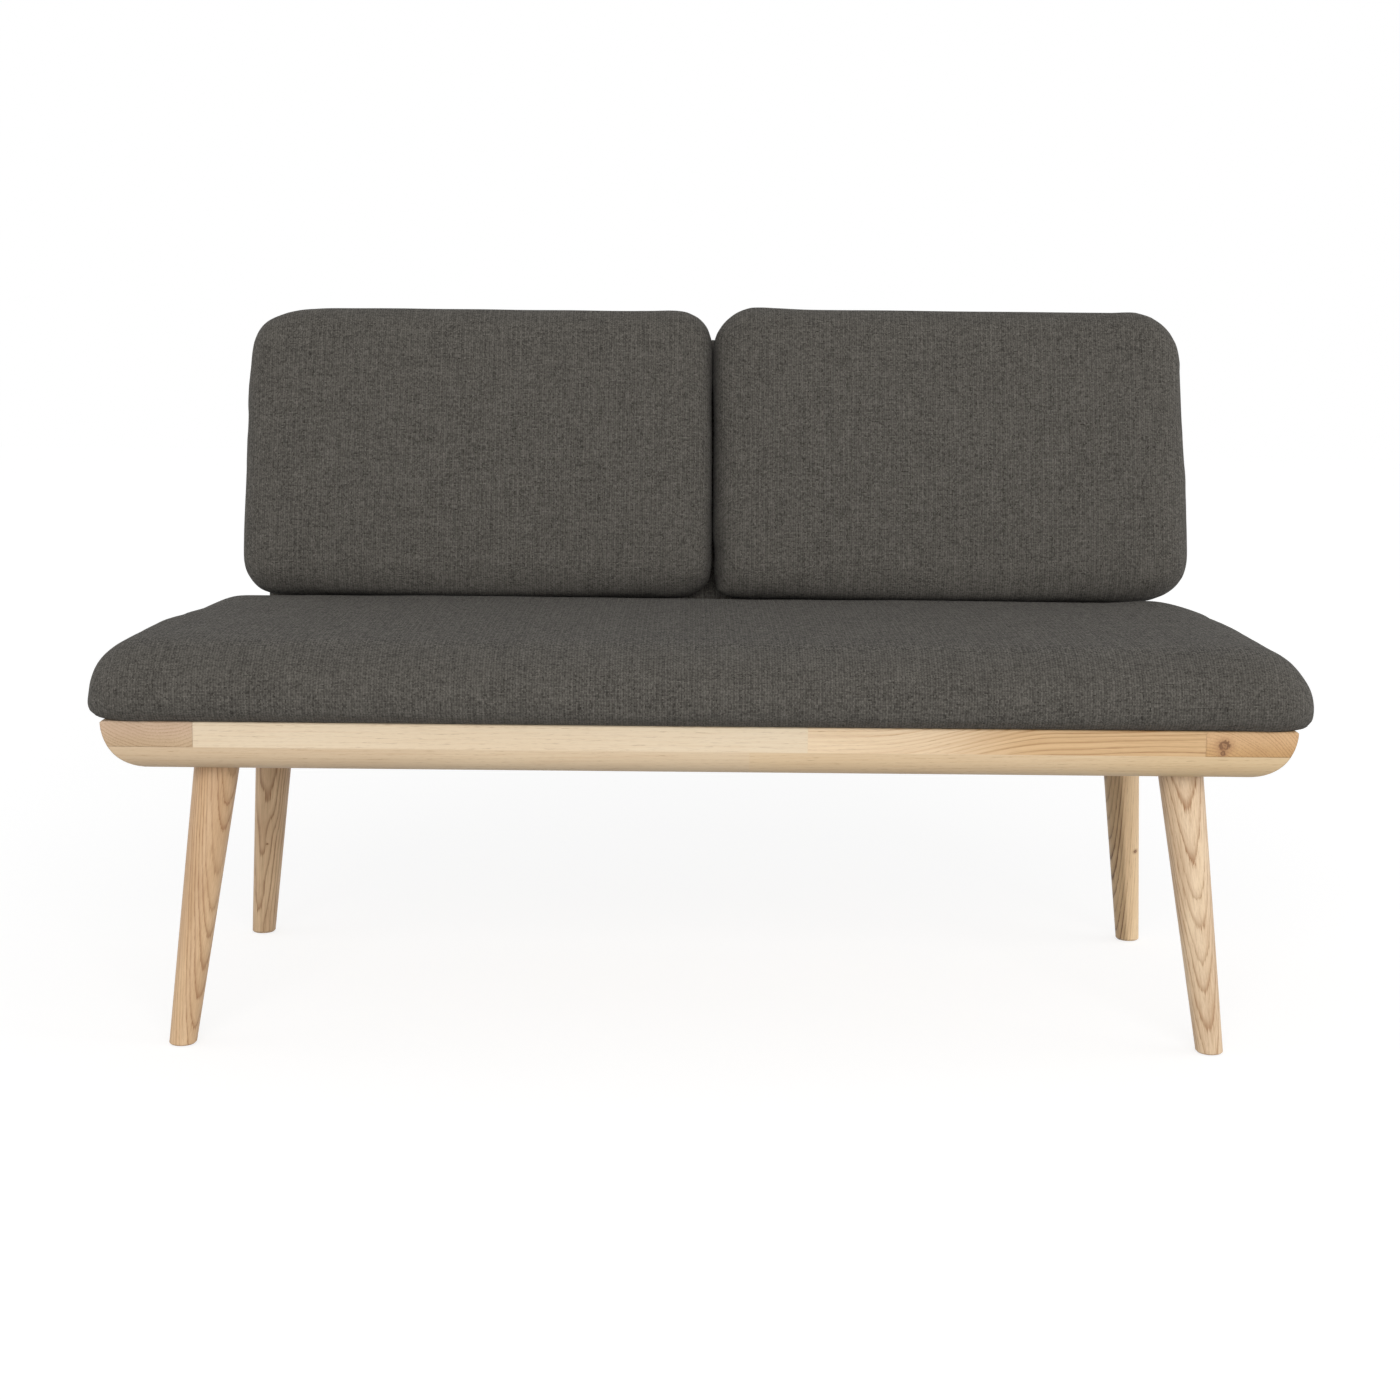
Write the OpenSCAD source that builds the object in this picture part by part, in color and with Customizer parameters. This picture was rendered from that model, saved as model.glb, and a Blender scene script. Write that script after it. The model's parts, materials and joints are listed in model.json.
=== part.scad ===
// Two-seat sofa on a solid ash platform with splayed legs, a full-width seat cushion
// and two loose back cushions in front of a reclined upholstered back panel.
// Millimetres, +Z up, +X to the sitter's left, -Y is the open front.
// The origin is on the floor under the middle of the whole sofa.

/* [Platform] */
// Length of the platform over its rounded ends
platform_w = 1400; // [1340:10:1600]
// Depth of the platform, front face to rear face
platform_d = 544; // [520:4:600]
// Thickness of the rails; the platform's ends are quarter circles of this radius
platform_t = 58; // [54:1:62]
// Height of the underside of the rails above the floor
underside_z = 334; // [300:2:380]
// Thickness of the upper layer at the half laps
upper_layer = 30; // [28:1:34]
// Radius under the front and rear edges
edge_round = 25; // [16:1:30]
// Bevel of the top arris
arris = 1.6; // [0.8:0.2:3]
// Depth of the front and rear rails
rail_d = 120; // [112:2:130]
// Width of the end rails, seen as end grain at the front
end_w = 108; // [100:2:112]
// Centre distance of each cross rail from the middle
cross_x = 210; // [160:10:300]
// Width of a cross rail
cross_w = 45; // [40:1:60]

/* [Deck] */
// Thickness of the plywood deck
deck_t = 12; // [9:1:15]
// Depth of the deck's upper face below the top of the rails
deck_recess = 3; // [2.8:0.1:4]
// Width of the rebate that carries the deck
rebate_w = 12; // [10:1:14]
// Play between the deck and the rebate, each side
deck_play = 0.3; // [0.2:0.1:0.6]

/* [Legs] */
// Distance from a platform end to the centre of the leg's top
leg_inset_x = 121; // [118:1:130]
// Distance from the front or rear face to the centre of the leg's top
leg_inset_y = 75; // [70:1:78]
// Sideways run of a leg between its top and the floor
splay_x = 36; // [20:1:50]
// Front-to-back run of a leg between its top and the floor
splay_y = 64; // [40:1:80]
// Diameter at the top of a leg
leg_top_d = 54; // [50:1:58]
// Diameter at the foot of a leg
leg_foot_d = 32; // [30:1:38]
// Height of the wood above the floor, carried by the glide
foot_lift = 1; // [0.5:0.1:2]
// Diameter of a floor glide
glide_d = 20; // [16:1:22]

/* [Seat cushion] */
// Overhang of the seat cushion at each end of the platform
seat_over_x = 25; // [0:1:28]
// How far the seat cushion sits to the right of the platform's middle
seat_shift = 3; // [0:1:5]
// Overhang of the seat cushion in front of and behind the platform
seat_over_y = 20; // [0:1:22]
// Thickness of the seat cushion at its edges
seat_t = 92; // [84:1:100]
// Height of the widest line above the bottom of the cushion
seat_belly = 31; // [28:1:40]
// How far the bottom edge is drawn in from the widest line at front and rear
seat_tuck = 23; // [18:1:30]
// How far it is drawn in at the ends
seat_tuck_x = 15; // [10:1:24]
// Run of the soft upper edge at the left end
seat_roll_left = 66; // [50:1:84]
// Run of the soft upper edge at the right end
seat_roll_right = 78; // [50:1:84]
// Run of the soft upper edge at the front
seat_roll_front = 71; // [50:1:80]
// Run of the soft upper edge at the rear
seat_roll_rear = 64; // [40:1:66]
// Plan radius of the front corners
seat_front_r = 62; // [40:1:90]
// Plan radius of the rear corners
seat_rear_r = 150; // [100:1:160]
// Outward bow of the cushion's sides
seat_bow = 2; // [1:0.5:3]
// Rise of the middle of the cushion above its edges
seat_crown = 5; // [0:0.5:9]

/* [Back cushions] */
// Lean of the back from the vertical, degrees
recline = 16; // [12:0.5:20]
// Width of the left back cushion as it sits
left_cushion_w = 651; // [600:1:656]
// Width of the right back cushion as it sits
right_cushion_w = 664; // [600:1:672]
// Height of the left back cushion along its slope
cushion_h = 406; // [380:1:430]
// How much taller the right back cushion sits
right_extra_h = 4; // [0:1:8]
// Thickness of a back cushion at its edges
cushion_t = 100; // [90:1:112]
// Line where the two cushions meet, to the right of the platform's middle
cushion_shift = 16; // [0:1:24]
// Height of the cushions' lower edge up the slope from the platform
cushion_rise = 82; // [82:1:90]
// Rounding of the cushion's edges, seen across its thickness
cushion_roll = 44; // [34:1:50]
// Rise of the middle of the front face
cushion_crown = 7; // [0:0.5:10]
// Radius of the left cushion's outer corner at the top
left_outer_r = 72; // [60:1:90]
// Radius of the left cushion's inner corner at the top, where the cushions meet
left_inner_r = 52; // [50:1:80]
// Radius of the right cushion's outer corner at the top
right_outer_r = 70; // [60:1:90]
// Radius of the right cushion's inner corner at the top
right_inner_r = 54; // [46:1:80]
// Bottom outer corner radius of the left cushion
left_low_r = 46; // [45:1:60]
// Bottom inner corner radius of the left cushion
left_low_inner_r = 28; // [24:1:60]
// Bottom inner corner radius of the right cushion
right_low_inner_r = 40; // [24:1:60]
// Bottom outer corner radius of the right cushion
right_low_r = 58; // [45:1:70]
// Lean of the right cushion's outer side towards the top
right_slant = 9; // [0:1:14]
// Sag of the lower edge between its corners
cushion_sag = 3; // [0:0.5:6]

/* [Back panel] */
// Width of the upholstered back panel
panel_w = 1220; // [1100:2:1240]
// Height of the panel along its slope
panel_h = 458; // [430:1:470]
// Height of the panel's lower edge up the slope from the platform
panel_rise = 10; // [8:1:20]
// Corner radius of the panel
panel_r = 46; // [30:1:60]
// Padding in front of the board
panel_pad = 12; // [8:1:16]
// Thickness of the plywood board
board_t = 15; // [12:1:18]
// Thickness of the rear cover
panel_skin = 5; // [3:1:6]
// Width of the padded rim around the board
panel_rim = 8; // [6:1:12]

/* [Back brackets] */
// Distance of a bracket from the middle
bracket_x = 380; // [300:5:440]
// Width of the flat bar
bracket_w = 50; // [40:1:60]
// Thickness of the flat bar
bracket_t = 6; // [5:0.5:8]
// Inner radius of the bend
bend_r = 8; // [6:1:10]
// Reach of the bar up the panel's rear face
bracket_up = 190; // [160:5:240]
// Reach of the foot under the rear rail
bracket_foot = 105; // [95:1:112]

/* [Hidden] */
// Small gap between a soft piece and what it rests on
rest_gap = 0.3;
// Thickness of a hook-and-loop strip
strip_t = 2.5;
// Gap from the panel to the back cushions, filled by the strips
cushion_gap = strip_t + rest_gap;
// Gap between the seat cushion's rear and the foot of the panel, across the slope
panel_front_y = 16.6;
// Bolts of the legs and of the back brackets
bolt_d = 8;
bolt_play = 0.3;
thread_play = 0.05;
leg_bolt_shift = 6;
leg_bolt_head_d = 13;
leg_bolt_head_h = 8;
leg_bolt_key = 6;
washer_d = 22;
washer_t = 2;
leg_bore_d = 26;
leg_bore_floor = 43;
insert_d = 14;
insert_len = 25;
insert_sink = 1;
bolt_grip = 28;
button_d = 14;
button_h = 4.4;
tee_flange_d = 20;
tee_flange_t = 1.5;
tee_barrel_d = 10;
bolt_low = 60;
bolt_high = 150;
// Dowels and screws
corner_dowel_d = 10;
corner_dowel_near = 42;
corner_dowel_far = 92;
corner_dowel_lift = 1;
cross_dowel_d = 8;
dowel_len = 40;
cross_dowel_x = 12;
cross_dowel_z = 23;
cross_rail_lift = 5;
deck_screw_d = 4;
deck_screw_len = 30;
rail_screw_d = 6;
rail_screw_len = 44;
rail_screw_near = 40;
rail_screw_far = 86;
rail_screw_x = 13;
deck_screw_x = [140, 420];
glide_h = 4;
strip_w = 50;
seat_strip_len = 1000;
seat_strip_y = 80;
back_strip_len = 300;
back_strip_inset = 130;
// Steps around a soft corner
soft_steps = 8;

top_z = underside_z + platform_t;
lap_z = top_z - upper_layer;
half_w = platform_w / 2;
half_d = platform_d / 2;
inner_x = half_w - end_w;
inner_y = half_d - rail_d;
leg_x = half_w - leg_inset_x;
leg_y = half_d - leg_inset_y;
leg_len = norm([splay_x, splay_y, underside_z]);
panel_t = panel_pad + board_t + panel_skin;
seat_front = half_d + seat_over_y;
// Slope frame: its zero is the panel's front face at the height of the platform top
back_y = half_d + panel_front_y;
rear_reach = back_y + panel_t * cos(recline) + (panel_rise + panel_h) * sin(recline);
platform_y = (seat_front - rear_reach) / 2;
deck_z = top_z - deck_recess - deck_t;

front_rail();
rear_rail();
left_end_rail();
right_end_rail();
left_cross_rail();
right_cross_rail();
corner_dowels();
cross_rail_dowels();
seat_deck();
deck_screws();
front_left_leg();
front_right_leg();
rear_left_leg();
rear_right_leg();
leg_bolts();
leg_washers();
leg_inserts();
foot_glides();
seat_grip_strips();
seat_cushion();
left_back_cushion();
right_back_cushion();
back_board();
back_cover_front();
back_cover_rear();
left_back_bracket();
right_back_bracket();
bracket_rail_screws();
bracket_bolts();
tee_nuts();
back_grip_strips();

// Frames

// The platform's own frame: its middle on the floor
module on_platform() {
    translate([0, platform_y, 0]) children();
}

// The slope frame: x right, z up the slope, y through the panel to the rear
module on_slope() {
    translate([0, platform_y + back_y, top_z]) rotate([-recline, 0, 0]) children();
}

// The frame of one leg: its top centre at zero, z up along the leg
module on_leg(side, end) {
    translate([side * leg_x, platform_y + end * leg_y, underside_z])
        rotate([0, acos(underside_z / leg_len), atan2(-end * splay_y, -side * splay_x)])
            rotate(90) children();
}

// A leg's bolt stands upright, a little inboard of the middle of the leg's top
module at_leg_bolt(side, end) {
    translate([side * (leg_x - leg_bolt_shift), platform_y + end * leg_y, underside_z])
        children();
}

module at_every_leg_bolt() {
    for (side = [-1, 1], end = [-1, 1])
        at_leg_bolt(side, end) children();
}

// One bracket's place along the back
module at_bracket(side) {
    translate([side * bracket_x, 0, 0]) children();
}

// Platform

// Outline of one elevation: square top with a bevelled arris, rounded lower corners
module rail_outline(len, round_r) {
    difference() {
        union() {
            for (side = [-1, 1])
                intersection() {
                    translate([side * (len / 2 - round_r), round_r])
                        circle(r = round_r, $fn = 96);
                    translate([side * (len / 2 - round_r / 2), round_r / 2])
                        square([round_r, round_r], center = true);
                }
            translate([-len / 2 + round_r, 0]) square([len - 2 * round_r, platform_t]);
            if (round_r < platform_t)
                translate([-len / 2, round_r]) square([len, platform_t - round_r]);
        }
        for (side = [-1, 1])
            translate([side * len / 2, platform_t]) rotate(45)
                square(arris * sqrt(2), center = true);
    }
}

// The platform's outer form: the front outline carried back, crossed with the end outline
module platform_body() {
    intersection() {
        translate([0, half_d, underside_z]) rotate([90, 0, 0])
            linear_extrude(platform_d) rail_outline(platform_w, platform_t);
        translate([-half_w, 0, underside_z]) rotate([90, 0, 90])
            linear_extrude(platform_w) rail_outline(platform_d, edge_round);
    }
}

// The rebate that takes the deck
module deck_rebate() {
    translate([-inner_x - rebate_w, -inner_y - rebate_w, deck_z])
        cube([2 * (inner_x + rebate_w), 2 * (inner_y + rebate_w), platform_t]);
}

// Space of a long rail: full depth between the end rails, lower layer only at the laps
module long_rail_space(end) {
    scale_y = end * (half_d - rail_d / 2);
    translate([-inner_x, scale_y - rail_d / 2, underside_z])
        cube([2 * inner_x, rail_d, platform_t]);
    for (side = [-1, 1])
        translate([side * (half_w - end_w / 2) - end_w / 2, scale_y - rail_d / 2, underside_z])
            cube([end_w, rail_d, platform_t - upper_layer]);
}

module long_rail(end) {
    color([0.84, 0.74, 0.60]) difference() {
        on_platform() difference() {
            intersection() {
                platform_body();
                long_rail_space(end);
            }
            deck_rebate();
            corner_dowel_set(0);
            cross_dowel_set(0);
            deck_screw_set(0);
            if (end > 0) rail_screw_set(0);
        }
        for (side = [-1, 1])
            at_leg_bolt(side, end) leg_bolt_bore();
    }
}

module front_rail() { long_rail(-1); }

module rear_rail() { long_rail(1); }

// End rail: the upper layer runs from front to rear, the lower one between the long rails
module end_rail(side) {
    color([0.80, 0.68, 0.54]) on_platform() difference() {
        intersection() {
            platform_body();
            translate([side * (half_w - end_w / 2) - end_w / 2, 0, 0]) union() {
                translate([0, -half_d, lap_z]) cube([end_w, platform_d, upper_layer]);
                translate([0, -inner_y, underside_z]) cube([end_w, 2 * inner_y, platform_t]);
            }
        }
        deck_rebate();
        corner_dowel_set(0);
        deck_screw_set(0);
    }
}

module left_end_rail() { end_rail(-1); }

module right_end_rail() { end_rail(1); }

// Cross rail between the long rails, under the deck
module cross_rail(side) {
    color([0.82, 0.72, 0.58]) on_platform() difference() {
        translate([side * cross_x - cross_w / 2, -inner_y, underside_z + cross_rail_lift])
            cube([cross_w, 2 * inner_y, deck_z - underside_z - cross_rail_lift]);
        cross_dowel_set(0);
    }
}

module left_cross_rail() { cross_rail(-1); }

module right_cross_rail() { cross_rail(1); }

// Two upright dowels through each half lap
module corner_dowel_set(play) {
    for (side = [-1, 1], end = [-1, 1], from_face = [corner_dowel_near, corner_dowel_far])
        translate([side * (half_w - end_w / 2), end * (half_d - from_face),
            lap_z - dowel_len / 2 + corner_dowel_lift])
            cylinder(h = dowel_len, d = corner_dowel_d + 2 * play, $fn = 48);
}

module corner_dowels() {
    color([0.86, 0.76, 0.60]) on_platform() corner_dowel_set(0);
}

// Two level dowels in each end of a cross rail
module cross_dowel_set(play) {
    for (side = [-1, 1], end = [-1, 1], row = [-1, 1])
        translate([side * cross_x + row * cross_dowel_x, end * inner_y, underside_z + cross_dowel_z])
            rotate([90, 0, 0])
                cylinder(h = dowel_len, d = cross_dowel_d + 2 * play, center = true, $fn = 48);
}

module cross_rail_dowels() {
    color([0.86, 0.76, 0.60]) on_platform() cross_dowel_set(0);
}

// Deck

// Countersunk wood screw, head at zero, shank down
module wood_screw(d, len) {
    translate([0, 0, -d / 2]) cylinder(h = d / 2, d1 = d, d2 = 2 * d, $fn = 48);
    translate([0, 0, -len]) cylinder(h = len, d = d, $fn = 48);
}

module screw_key(d) {
    translate([0, 0, -d * 0.4]) cylinder(h = d, d = d * 0.9, $fn = 6);
}

module deck_screw_spots() {
    for (end = [-1, 1], side = [-1, 1], x = deck_screw_x)
        translate([side * x, end * (inner_y + rebate_w / 2), deck_z + deck_t]) children();
    for (side = [-1, 1])
        translate([side * (inner_x + rebate_w / 2), 0, deck_z + deck_t]) children();
}

module deck_screw_set(play) {
    deck_screw_spots() wood_screw(deck_screw_d + 2 * play, deck_screw_len);
}

module seat_deck() {
    color([0.80, 0.70, 0.53]) on_platform() difference() {
        translate([-inner_x - rebate_w + deck_play, -inner_y - rebate_w + deck_play, deck_z])
            cube([2 * (inner_x + rebate_w - deck_play),
                2 * (inner_y + rebate_w - deck_play), deck_t]);
        deck_screw_set(0);
    }
}

module deck_screws() {
    color([0.75, 0.74, 0.70]) on_platform() deck_screw_spots() difference() {
        wood_screw(deck_screw_d, deck_screw_len);
        screw_key(deck_screw_d);
    }
}

// Strips on the deck that hold the seat cushion
module seat_grip_strips() {
    color([0.10, 0.10, 0.10]) on_platform() for (end = [-1, 1])
        translate([-seat_strip_len / 2, end * seat_strip_y - strip_w / 2, deck_z + deck_t])
            cube([seat_strip_len, strip_w, strip_t]);
}

// Legs

// Bore through the long rail for one leg bolt, with the pocket for its head
module leg_bolt_bore() {
    translate([0, 0, -1]) cylinder(h = leg_bore_floor + 2, d = bolt_d + 2 * bolt_play, $fn = 48);
    translate([0, 0, leg_bore_floor]) cylinder(h = platform_t, d = leg_bore_d, $fn = 64);
}

// Slice of space between the floor side of the foot and the underside of the platform
module leg_slab() {
    translate([-platform_w, -platform_w, foot_lift])
        cube([2 * platform_w, 2 * platform_w, underside_z - foot_lift]);
}

// Turned leg: a long cone cut level at the platform and at the floor, eased at the foot
module leg(side, end) {
    slope = (leg_top_d - leg_foot_d) / 2 / leg_len;
    over = 20;
    color([0.85, 0.75, 0.60]) difference() {
        intersection() {
            on_leg(side, end) translate([0, 0, -leg_len - over])
                cylinder(h = leg_len + 2 * over, r1 = leg_foot_d / 2 - slope * over,
                    r2 = leg_top_d / 2 + slope * over, $fn = 96);
            leg_slab();
            at_foot(side, end) translate([0, 0, foot_lift])
                cylinder(h = underside_z, r1 = leg_foot_d / 2 - 1.5,
                    r2 = leg_foot_d / 2 - 1.5 + underside_z, $fn = 96);
        }
        at_leg_bolt(side, end) translate([0, 0, -insert_len - insert_sink - 4])
            cylinder(h = insert_len + insert_sink + 8, d = insert_d, $fn = 48);
        at_foot(side, end) cylinder(h = glide_h, d = glide_d, $fn = 64);
    }
}

module at_foot(side, end) {
    translate([side * (leg_x + splay_x), platform_y + end * (leg_y + splay_y), 0]) children();
}

module front_left_leg() { leg(-1, -1); }

module front_right_leg() { leg(1, -1); }

module rear_left_leg() { leg(-1, 1); }

module rear_right_leg() { leg(1, 1); }

// Cap screws that pull the legs up against the rails
module leg_bolts() {
    color([0.72, 0.72, 0.70]) at_every_leg_bolt() difference() {
        union() {
            translate([0, 0, -bolt_grip])
                cylinder(h = bolt_grip + leg_bore_floor + washer_t, d = bolt_d, $fn = 48);
            translate([0, 0, leg_bore_floor + washer_t])
                cylinder(h = leg_bolt_head_h, d = leg_bolt_head_d, $fn = 64);
        }
        translate([0, 0, leg_bore_floor + washer_t + leg_bolt_head_h / 2])
            cylinder(h = leg_bolt_head_h, d = leg_bolt_key / cos(30), $fn = 6);
    }
}

module leg_washers() {
    color([0.70, 0.70, 0.68]) at_every_leg_bolt() translate([0, 0, leg_bore_floor])
        difference() {
            cylinder(h = washer_t, d = washer_d, $fn = 64);
            translate([0, 0, -1]) cylinder(h = washer_t + 2, d = bolt_d + bolt_play, $fn = 48);
        }
}

// Threaded sleeves sunk in the tops of the legs
module leg_inserts() {
    color([0.74, 0.66, 0.40]) at_every_leg_bolt()
        translate([0, 0, -insert_len - insert_sink]) difference() {
            cylinder(h = insert_len, d = insert_d, $fn = 48);
            translate([0, 0, -1])
                cylinder(h = insert_len + 2, d = bolt_d + 2 * thread_play, $fn = 48);
        }
}

// Round glides let into the feet
module foot_glides() {
    color([0.55, 0.52, 0.47]) for (side = [-1, 1], end = [-1, 1])
        at_foot(side, end) cylinder(h = glide_h, d = glide_d, $fn = 64);
}

// Soft forms

// Quarter circle of points about a corner centre
function soft_corner(cx, cy, r, start) = [for (i = [0 : soft_steps])
    [cx + r * cos(start + 90 * i / soft_steps), cy + r * sin(start + 90 * i / soft_steps)]];

// Points between two corners, the ends left out, bowed outward
function soft_side(p, q, n, bow) = let(out = [q[1] - p[1], p[0] - q[0]] / norm(q - p))
    [for (i = [1 : n]) let(t = i / (n + 1)) p + (q - p) * t + out * bow * 4 * t * (1 - t)];

// Closed outline at one level: x limits, y limits, bow, and the corner radii
// in the order low right, high right, high left, low left
function soft_ring(x0, x1, y0, y1, bow, r) = let(
    a = soft_corner(x1 - r[0], y0 + r[0], r[0], -90),
    b = soft_corner(x1 - r[1], y1 - r[1], r[1], 0),
    c = soft_corner(x0 + r[2], y1 - r[2], r[2], 90),
    d = soft_corner(x0 + r[3], y0 + r[3], r[3], 180))
    concat(a, soft_side(a[soft_steps], b[0], 1, bow), b, soft_side(b[soft_steps], c[0], 3, bow),
        c, soft_side(c[soft_steps], d[0], 1, bow), d, soft_side(d[soft_steps], a[0], 3, bow));

// Loft through rings of equal count, closed by the first and last ring
module soft_loft(rings) {
    n = len(rings[0]);
    last = len(rings) - 1;
    pts = [for (ring = rings) each ring];
    walls = [for (k = [0 : last - 1], i = [0 : n - 1], half = [0, 1])
        let(a = k * n + i, b = k * n + (i + 1) % n)
        half == 0 ? [a, a + n, b + n] : [a, b + n, b]];
    lids = [[for (i = [0 : n - 1]) i], [for (i = [n - 1 : -1 : 0]) last * n + i]];
    polyhedron(points = pts, faces = concat(walls, lids), convexity = 4);
}

// Seat cushion: flat base, drawn-in lower edge, long soft upper edge, low crown
module seat_cushion() {
    hx = half_w + seat_over_x;
    rise = seat_t - seat_belly;
    // A level at height z, drawn in by its runs: left, right, front, rear
    function level(f, run, z, core) = let(
        front_r = seat_front_r * (1 - f) + core * f, rear_r = seat_rear_r * (1 - f) + core * f)
        [for (p = soft_ring(-hx + run[0], hx - run[1], -seat_front + run[2],
            seat_front - run[3], seat_bow, [front_r, rear_r, rear_r, front_r]))
            [p[0], p[1], z]];
    run = [seat_roll_left, seat_roll_right, seat_roll_front, seat_roll_rear];
    tuck = [seat_tuck_x, seat_tuck_x, seat_tuck, seat_tuck];
    low = [for (a = [90 : -18 : 18]) let(f = 1 - cos(a) ^ 0.75)
        level(f * 0.4, tuck * f, seat_belly * (1 - sin(a) ^ 0.75), 24)];
    high = [for (a = [0 : 9 : 90]) let(f = 1 - cos(a))
        level(f, run * f, seat_belly + rise * sin(a), 24)];
    reach = seat_front - seat_roll_front - 10;
    crown = [for (f = [0.12, 0.3, 0.55, 0.8, 1])
        level(1, run + [reach, reach, reach, reach] * f, seat_t + seat_crown * (1 - (1 - f) ^ 2),
            24 - 18 * f)];
    color([0.29, 0.28, 0.26]) on_platform() translate([seat_shift, 0, top_z + rest_gap])
        soft_loft(concat(low, high, crown));
}

// Back cushion between two limits across the back: rolled edges, low crown, soft low edge
// The radii follow the order of soft_ring; slant leans the right side in towards the top
module back_cushion(x0, x1, high, radii, slant) {
    half_t = cushion_t / 2;
    mid = (x0 + x1) / 2;
    half = (x1 - x0) / 2;
    reach = high / 2 - cushion_roll - 8;
    function shaped(x, y) = let(up = y / high, across = (x - mid) / half)
        [x - slant * up * max(0, across), y - cushion_sag * max(0, 1 - across ^ 2) * (1 - up)];
    function level(i, r, w) = [for (p = soft_ring(x0 + i, x1 - i, i, high - i, 0, r))
        concat(shaped(p[0], p[1]), [w])];
    core = 5;
    edge = [for (a = [-90 : 11.25 : 90]) let(f = 1 - cos(a) ^ 0.8)
        level(cushion_roll * f, radii * (1 - f) + [core, core, core, core] * 3 * f,
            half_t * (a < 0 ? -1 : 1) * abs(sin(a)) ^ 0.9)];
    crown = [for (f = [0.12, 0.3, 0.55, 0.8, 1])
        level(cushion_roll + reach * f, [core, core, core, core] * (3 - 2 * f),
            half_t + cushion_crown * (1 - (1 - f) ^ 2))];
    on_slope() translate([0, -cushion_gap - half_t, cushion_rise]) rotate([90, 0, 0])
        soft_loft(concat(edge, crown));
}

module left_back_cushion() {
    color([0.30, 0.29, 0.27])
        back_cushion(cushion_shift - rest_gap - left_cushion_w, cushion_shift - rest_gap,
            cushion_h, [left_low_inner_r, left_inner_r, left_outer_r, left_low_r], 0);
}

module right_back_cushion() {
    color([0.30, 0.29, 0.27])
        back_cushion(cushion_shift + rest_gap, cushion_shift + rest_gap + right_cushion_w,
            cushion_h + right_extra_h,
            [right_low_r, right_outer_r, right_inner_r, right_low_inner_r], right_slant);
}

// Back panel

// Upright slab with rounded corners in the slope frame, from y0 back by t
module slope_slab(inset, y0, t) {
    w = panel_w - 2 * inset;
    h = panel_h - 2 * inset;
    r = panel_r - inset;
    translate([0, y0 + t, panel_rise + inset]) rotate([90, 0, 0]) linear_extrude(t) union() {
        translate([-w / 2 + r, 0]) square([w - 2 * r, h]);
        translate([-w / 2, r]) square([w, h - 2 * r]);
        for (side = [-1, 1], y = [r, h - r])
            translate([side * (w / 2 - r), y]) circle(r = r, $fn = 64);
    }
}

module back_board() {
    color([0.72, 0.60, 0.42]) on_slope() difference() {
        slope_slab(panel_rim, panel_pad, board_t);
        bracket_bolt_spots() {
            tee_hole(0);
        }
    }
}

// Padding and fabric over the front and around the edge of the board
module back_cover_front() {
    color([0.29, 0.28, 0.26]) on_slope() difference() {
        slope_slab(0, 0, panel_pad + board_t);
        slope_slab(panel_rim, panel_pad, board_t + 1);
    }
}

module back_cover_rear() {
    color([0.27, 0.26, 0.24]) on_slope() difference() {
        slope_slab(0, panel_pad + board_t, panel_skin);
        bracket_bolt_spots() translate([0, panel_t + 1, 0]) rotate([90, 0, 0])
            cylinder(h = panel_skin + 2, d = bolt_d + 2 * bolt_play, $fn = 48);
    }
}

// Strips on the panel that hold the back cushions
module back_grip_strips() {
    color([0.10, 0.10, 0.10]) on_slope() for (x = [
        cushion_shift - left_cushion_w + back_strip_inset, cushion_shift - back_strip_inset,
        cushion_shift + back_strip_inset, cushion_shift + right_cushion_w - back_strip_inset])
        translate([x - strip_w / 2, -strip_t, cushion_rise + (cushion_h - back_strip_len) / 2])
            cube([strip_w, strip_t, back_strip_len]);
}

// Back brackets

module bracket_bolt_spots() {
    for (side = [-1, 1], z = [bolt_low, bolt_high])
        at_bracket(side) translate([0, 0, z]) children();
}

// Hole of a tee nut, open at both faces of the board
module tee_hole(play) {
    translate([0, panel_pad + board_t + 1, 0]) rotate([90, 0, 0])
        cylinder(h = board_t + 2, d = tee_barrel_d + 2 * play, $fn = 48);
    translate([0, panel_pad + tee_flange_t, 0]) rotate([90, 0, 0])
        cylinder(h = tee_flange_t + 1, d = tee_flange_d + 2 * play, $fn = 64);
}

module tee_nuts() {
    color([0.70, 0.70, 0.66]) on_slope() bracket_bolt_spots() difference() {
        union() {
            translate([0, panel_pad + board_t - 2, 0]) rotate([90, 0, 0])
                cylinder(h = board_t - 2, d = tee_barrel_d, $fn = 48);
            translate([0, panel_pad + tee_flange_t, 0]) rotate([90, 0, 0])
                cylinder(h = tee_flange_t, d = tee_flange_d, $fn = 64);
        }
        translate([0, panel_pad + board_t, 0]) rotate([90, 0, 0])
            cylinder(h = board_t + 1, d = bolt_d + 2 * thread_play, $fn = 48);
    }
}

// Button-head bolts through the bracket into the tee nuts
module bracket_bolts() {
    color([0.20, 0.20, 0.20]) on_slope() bracket_bolt_spots() difference() {
        union() {
            translate([0, panel_t + bracket_t, 0]) rotate([90, 0, 0])
                cylinder(h = panel_t + bracket_t - panel_pad - 2, d = bolt_d, $fn = 48);
            translate([0, panel_t + bracket_t, 0]) rotate([-90, 0, 0])
                cylinder(h = button_h, d1 = button_d, d2 = button_d * 0.62, $fn = 64);
        }
        translate([0, panel_t + bracket_t + button_h + 1, 0]) rotate([90, 0, 0])
            cylinder(h = 3.6, d = 5 / cos(30), $fn = 6);
    }
}

// Bend of the bar: centre in the y-z plane, inside the elbow
elbow_z = underside_z + bend_r;
elbow_y = back_y + (panel_t - bend_r) / cos(recline)
    + (elbow_z - top_z) * tan(recline);

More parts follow.
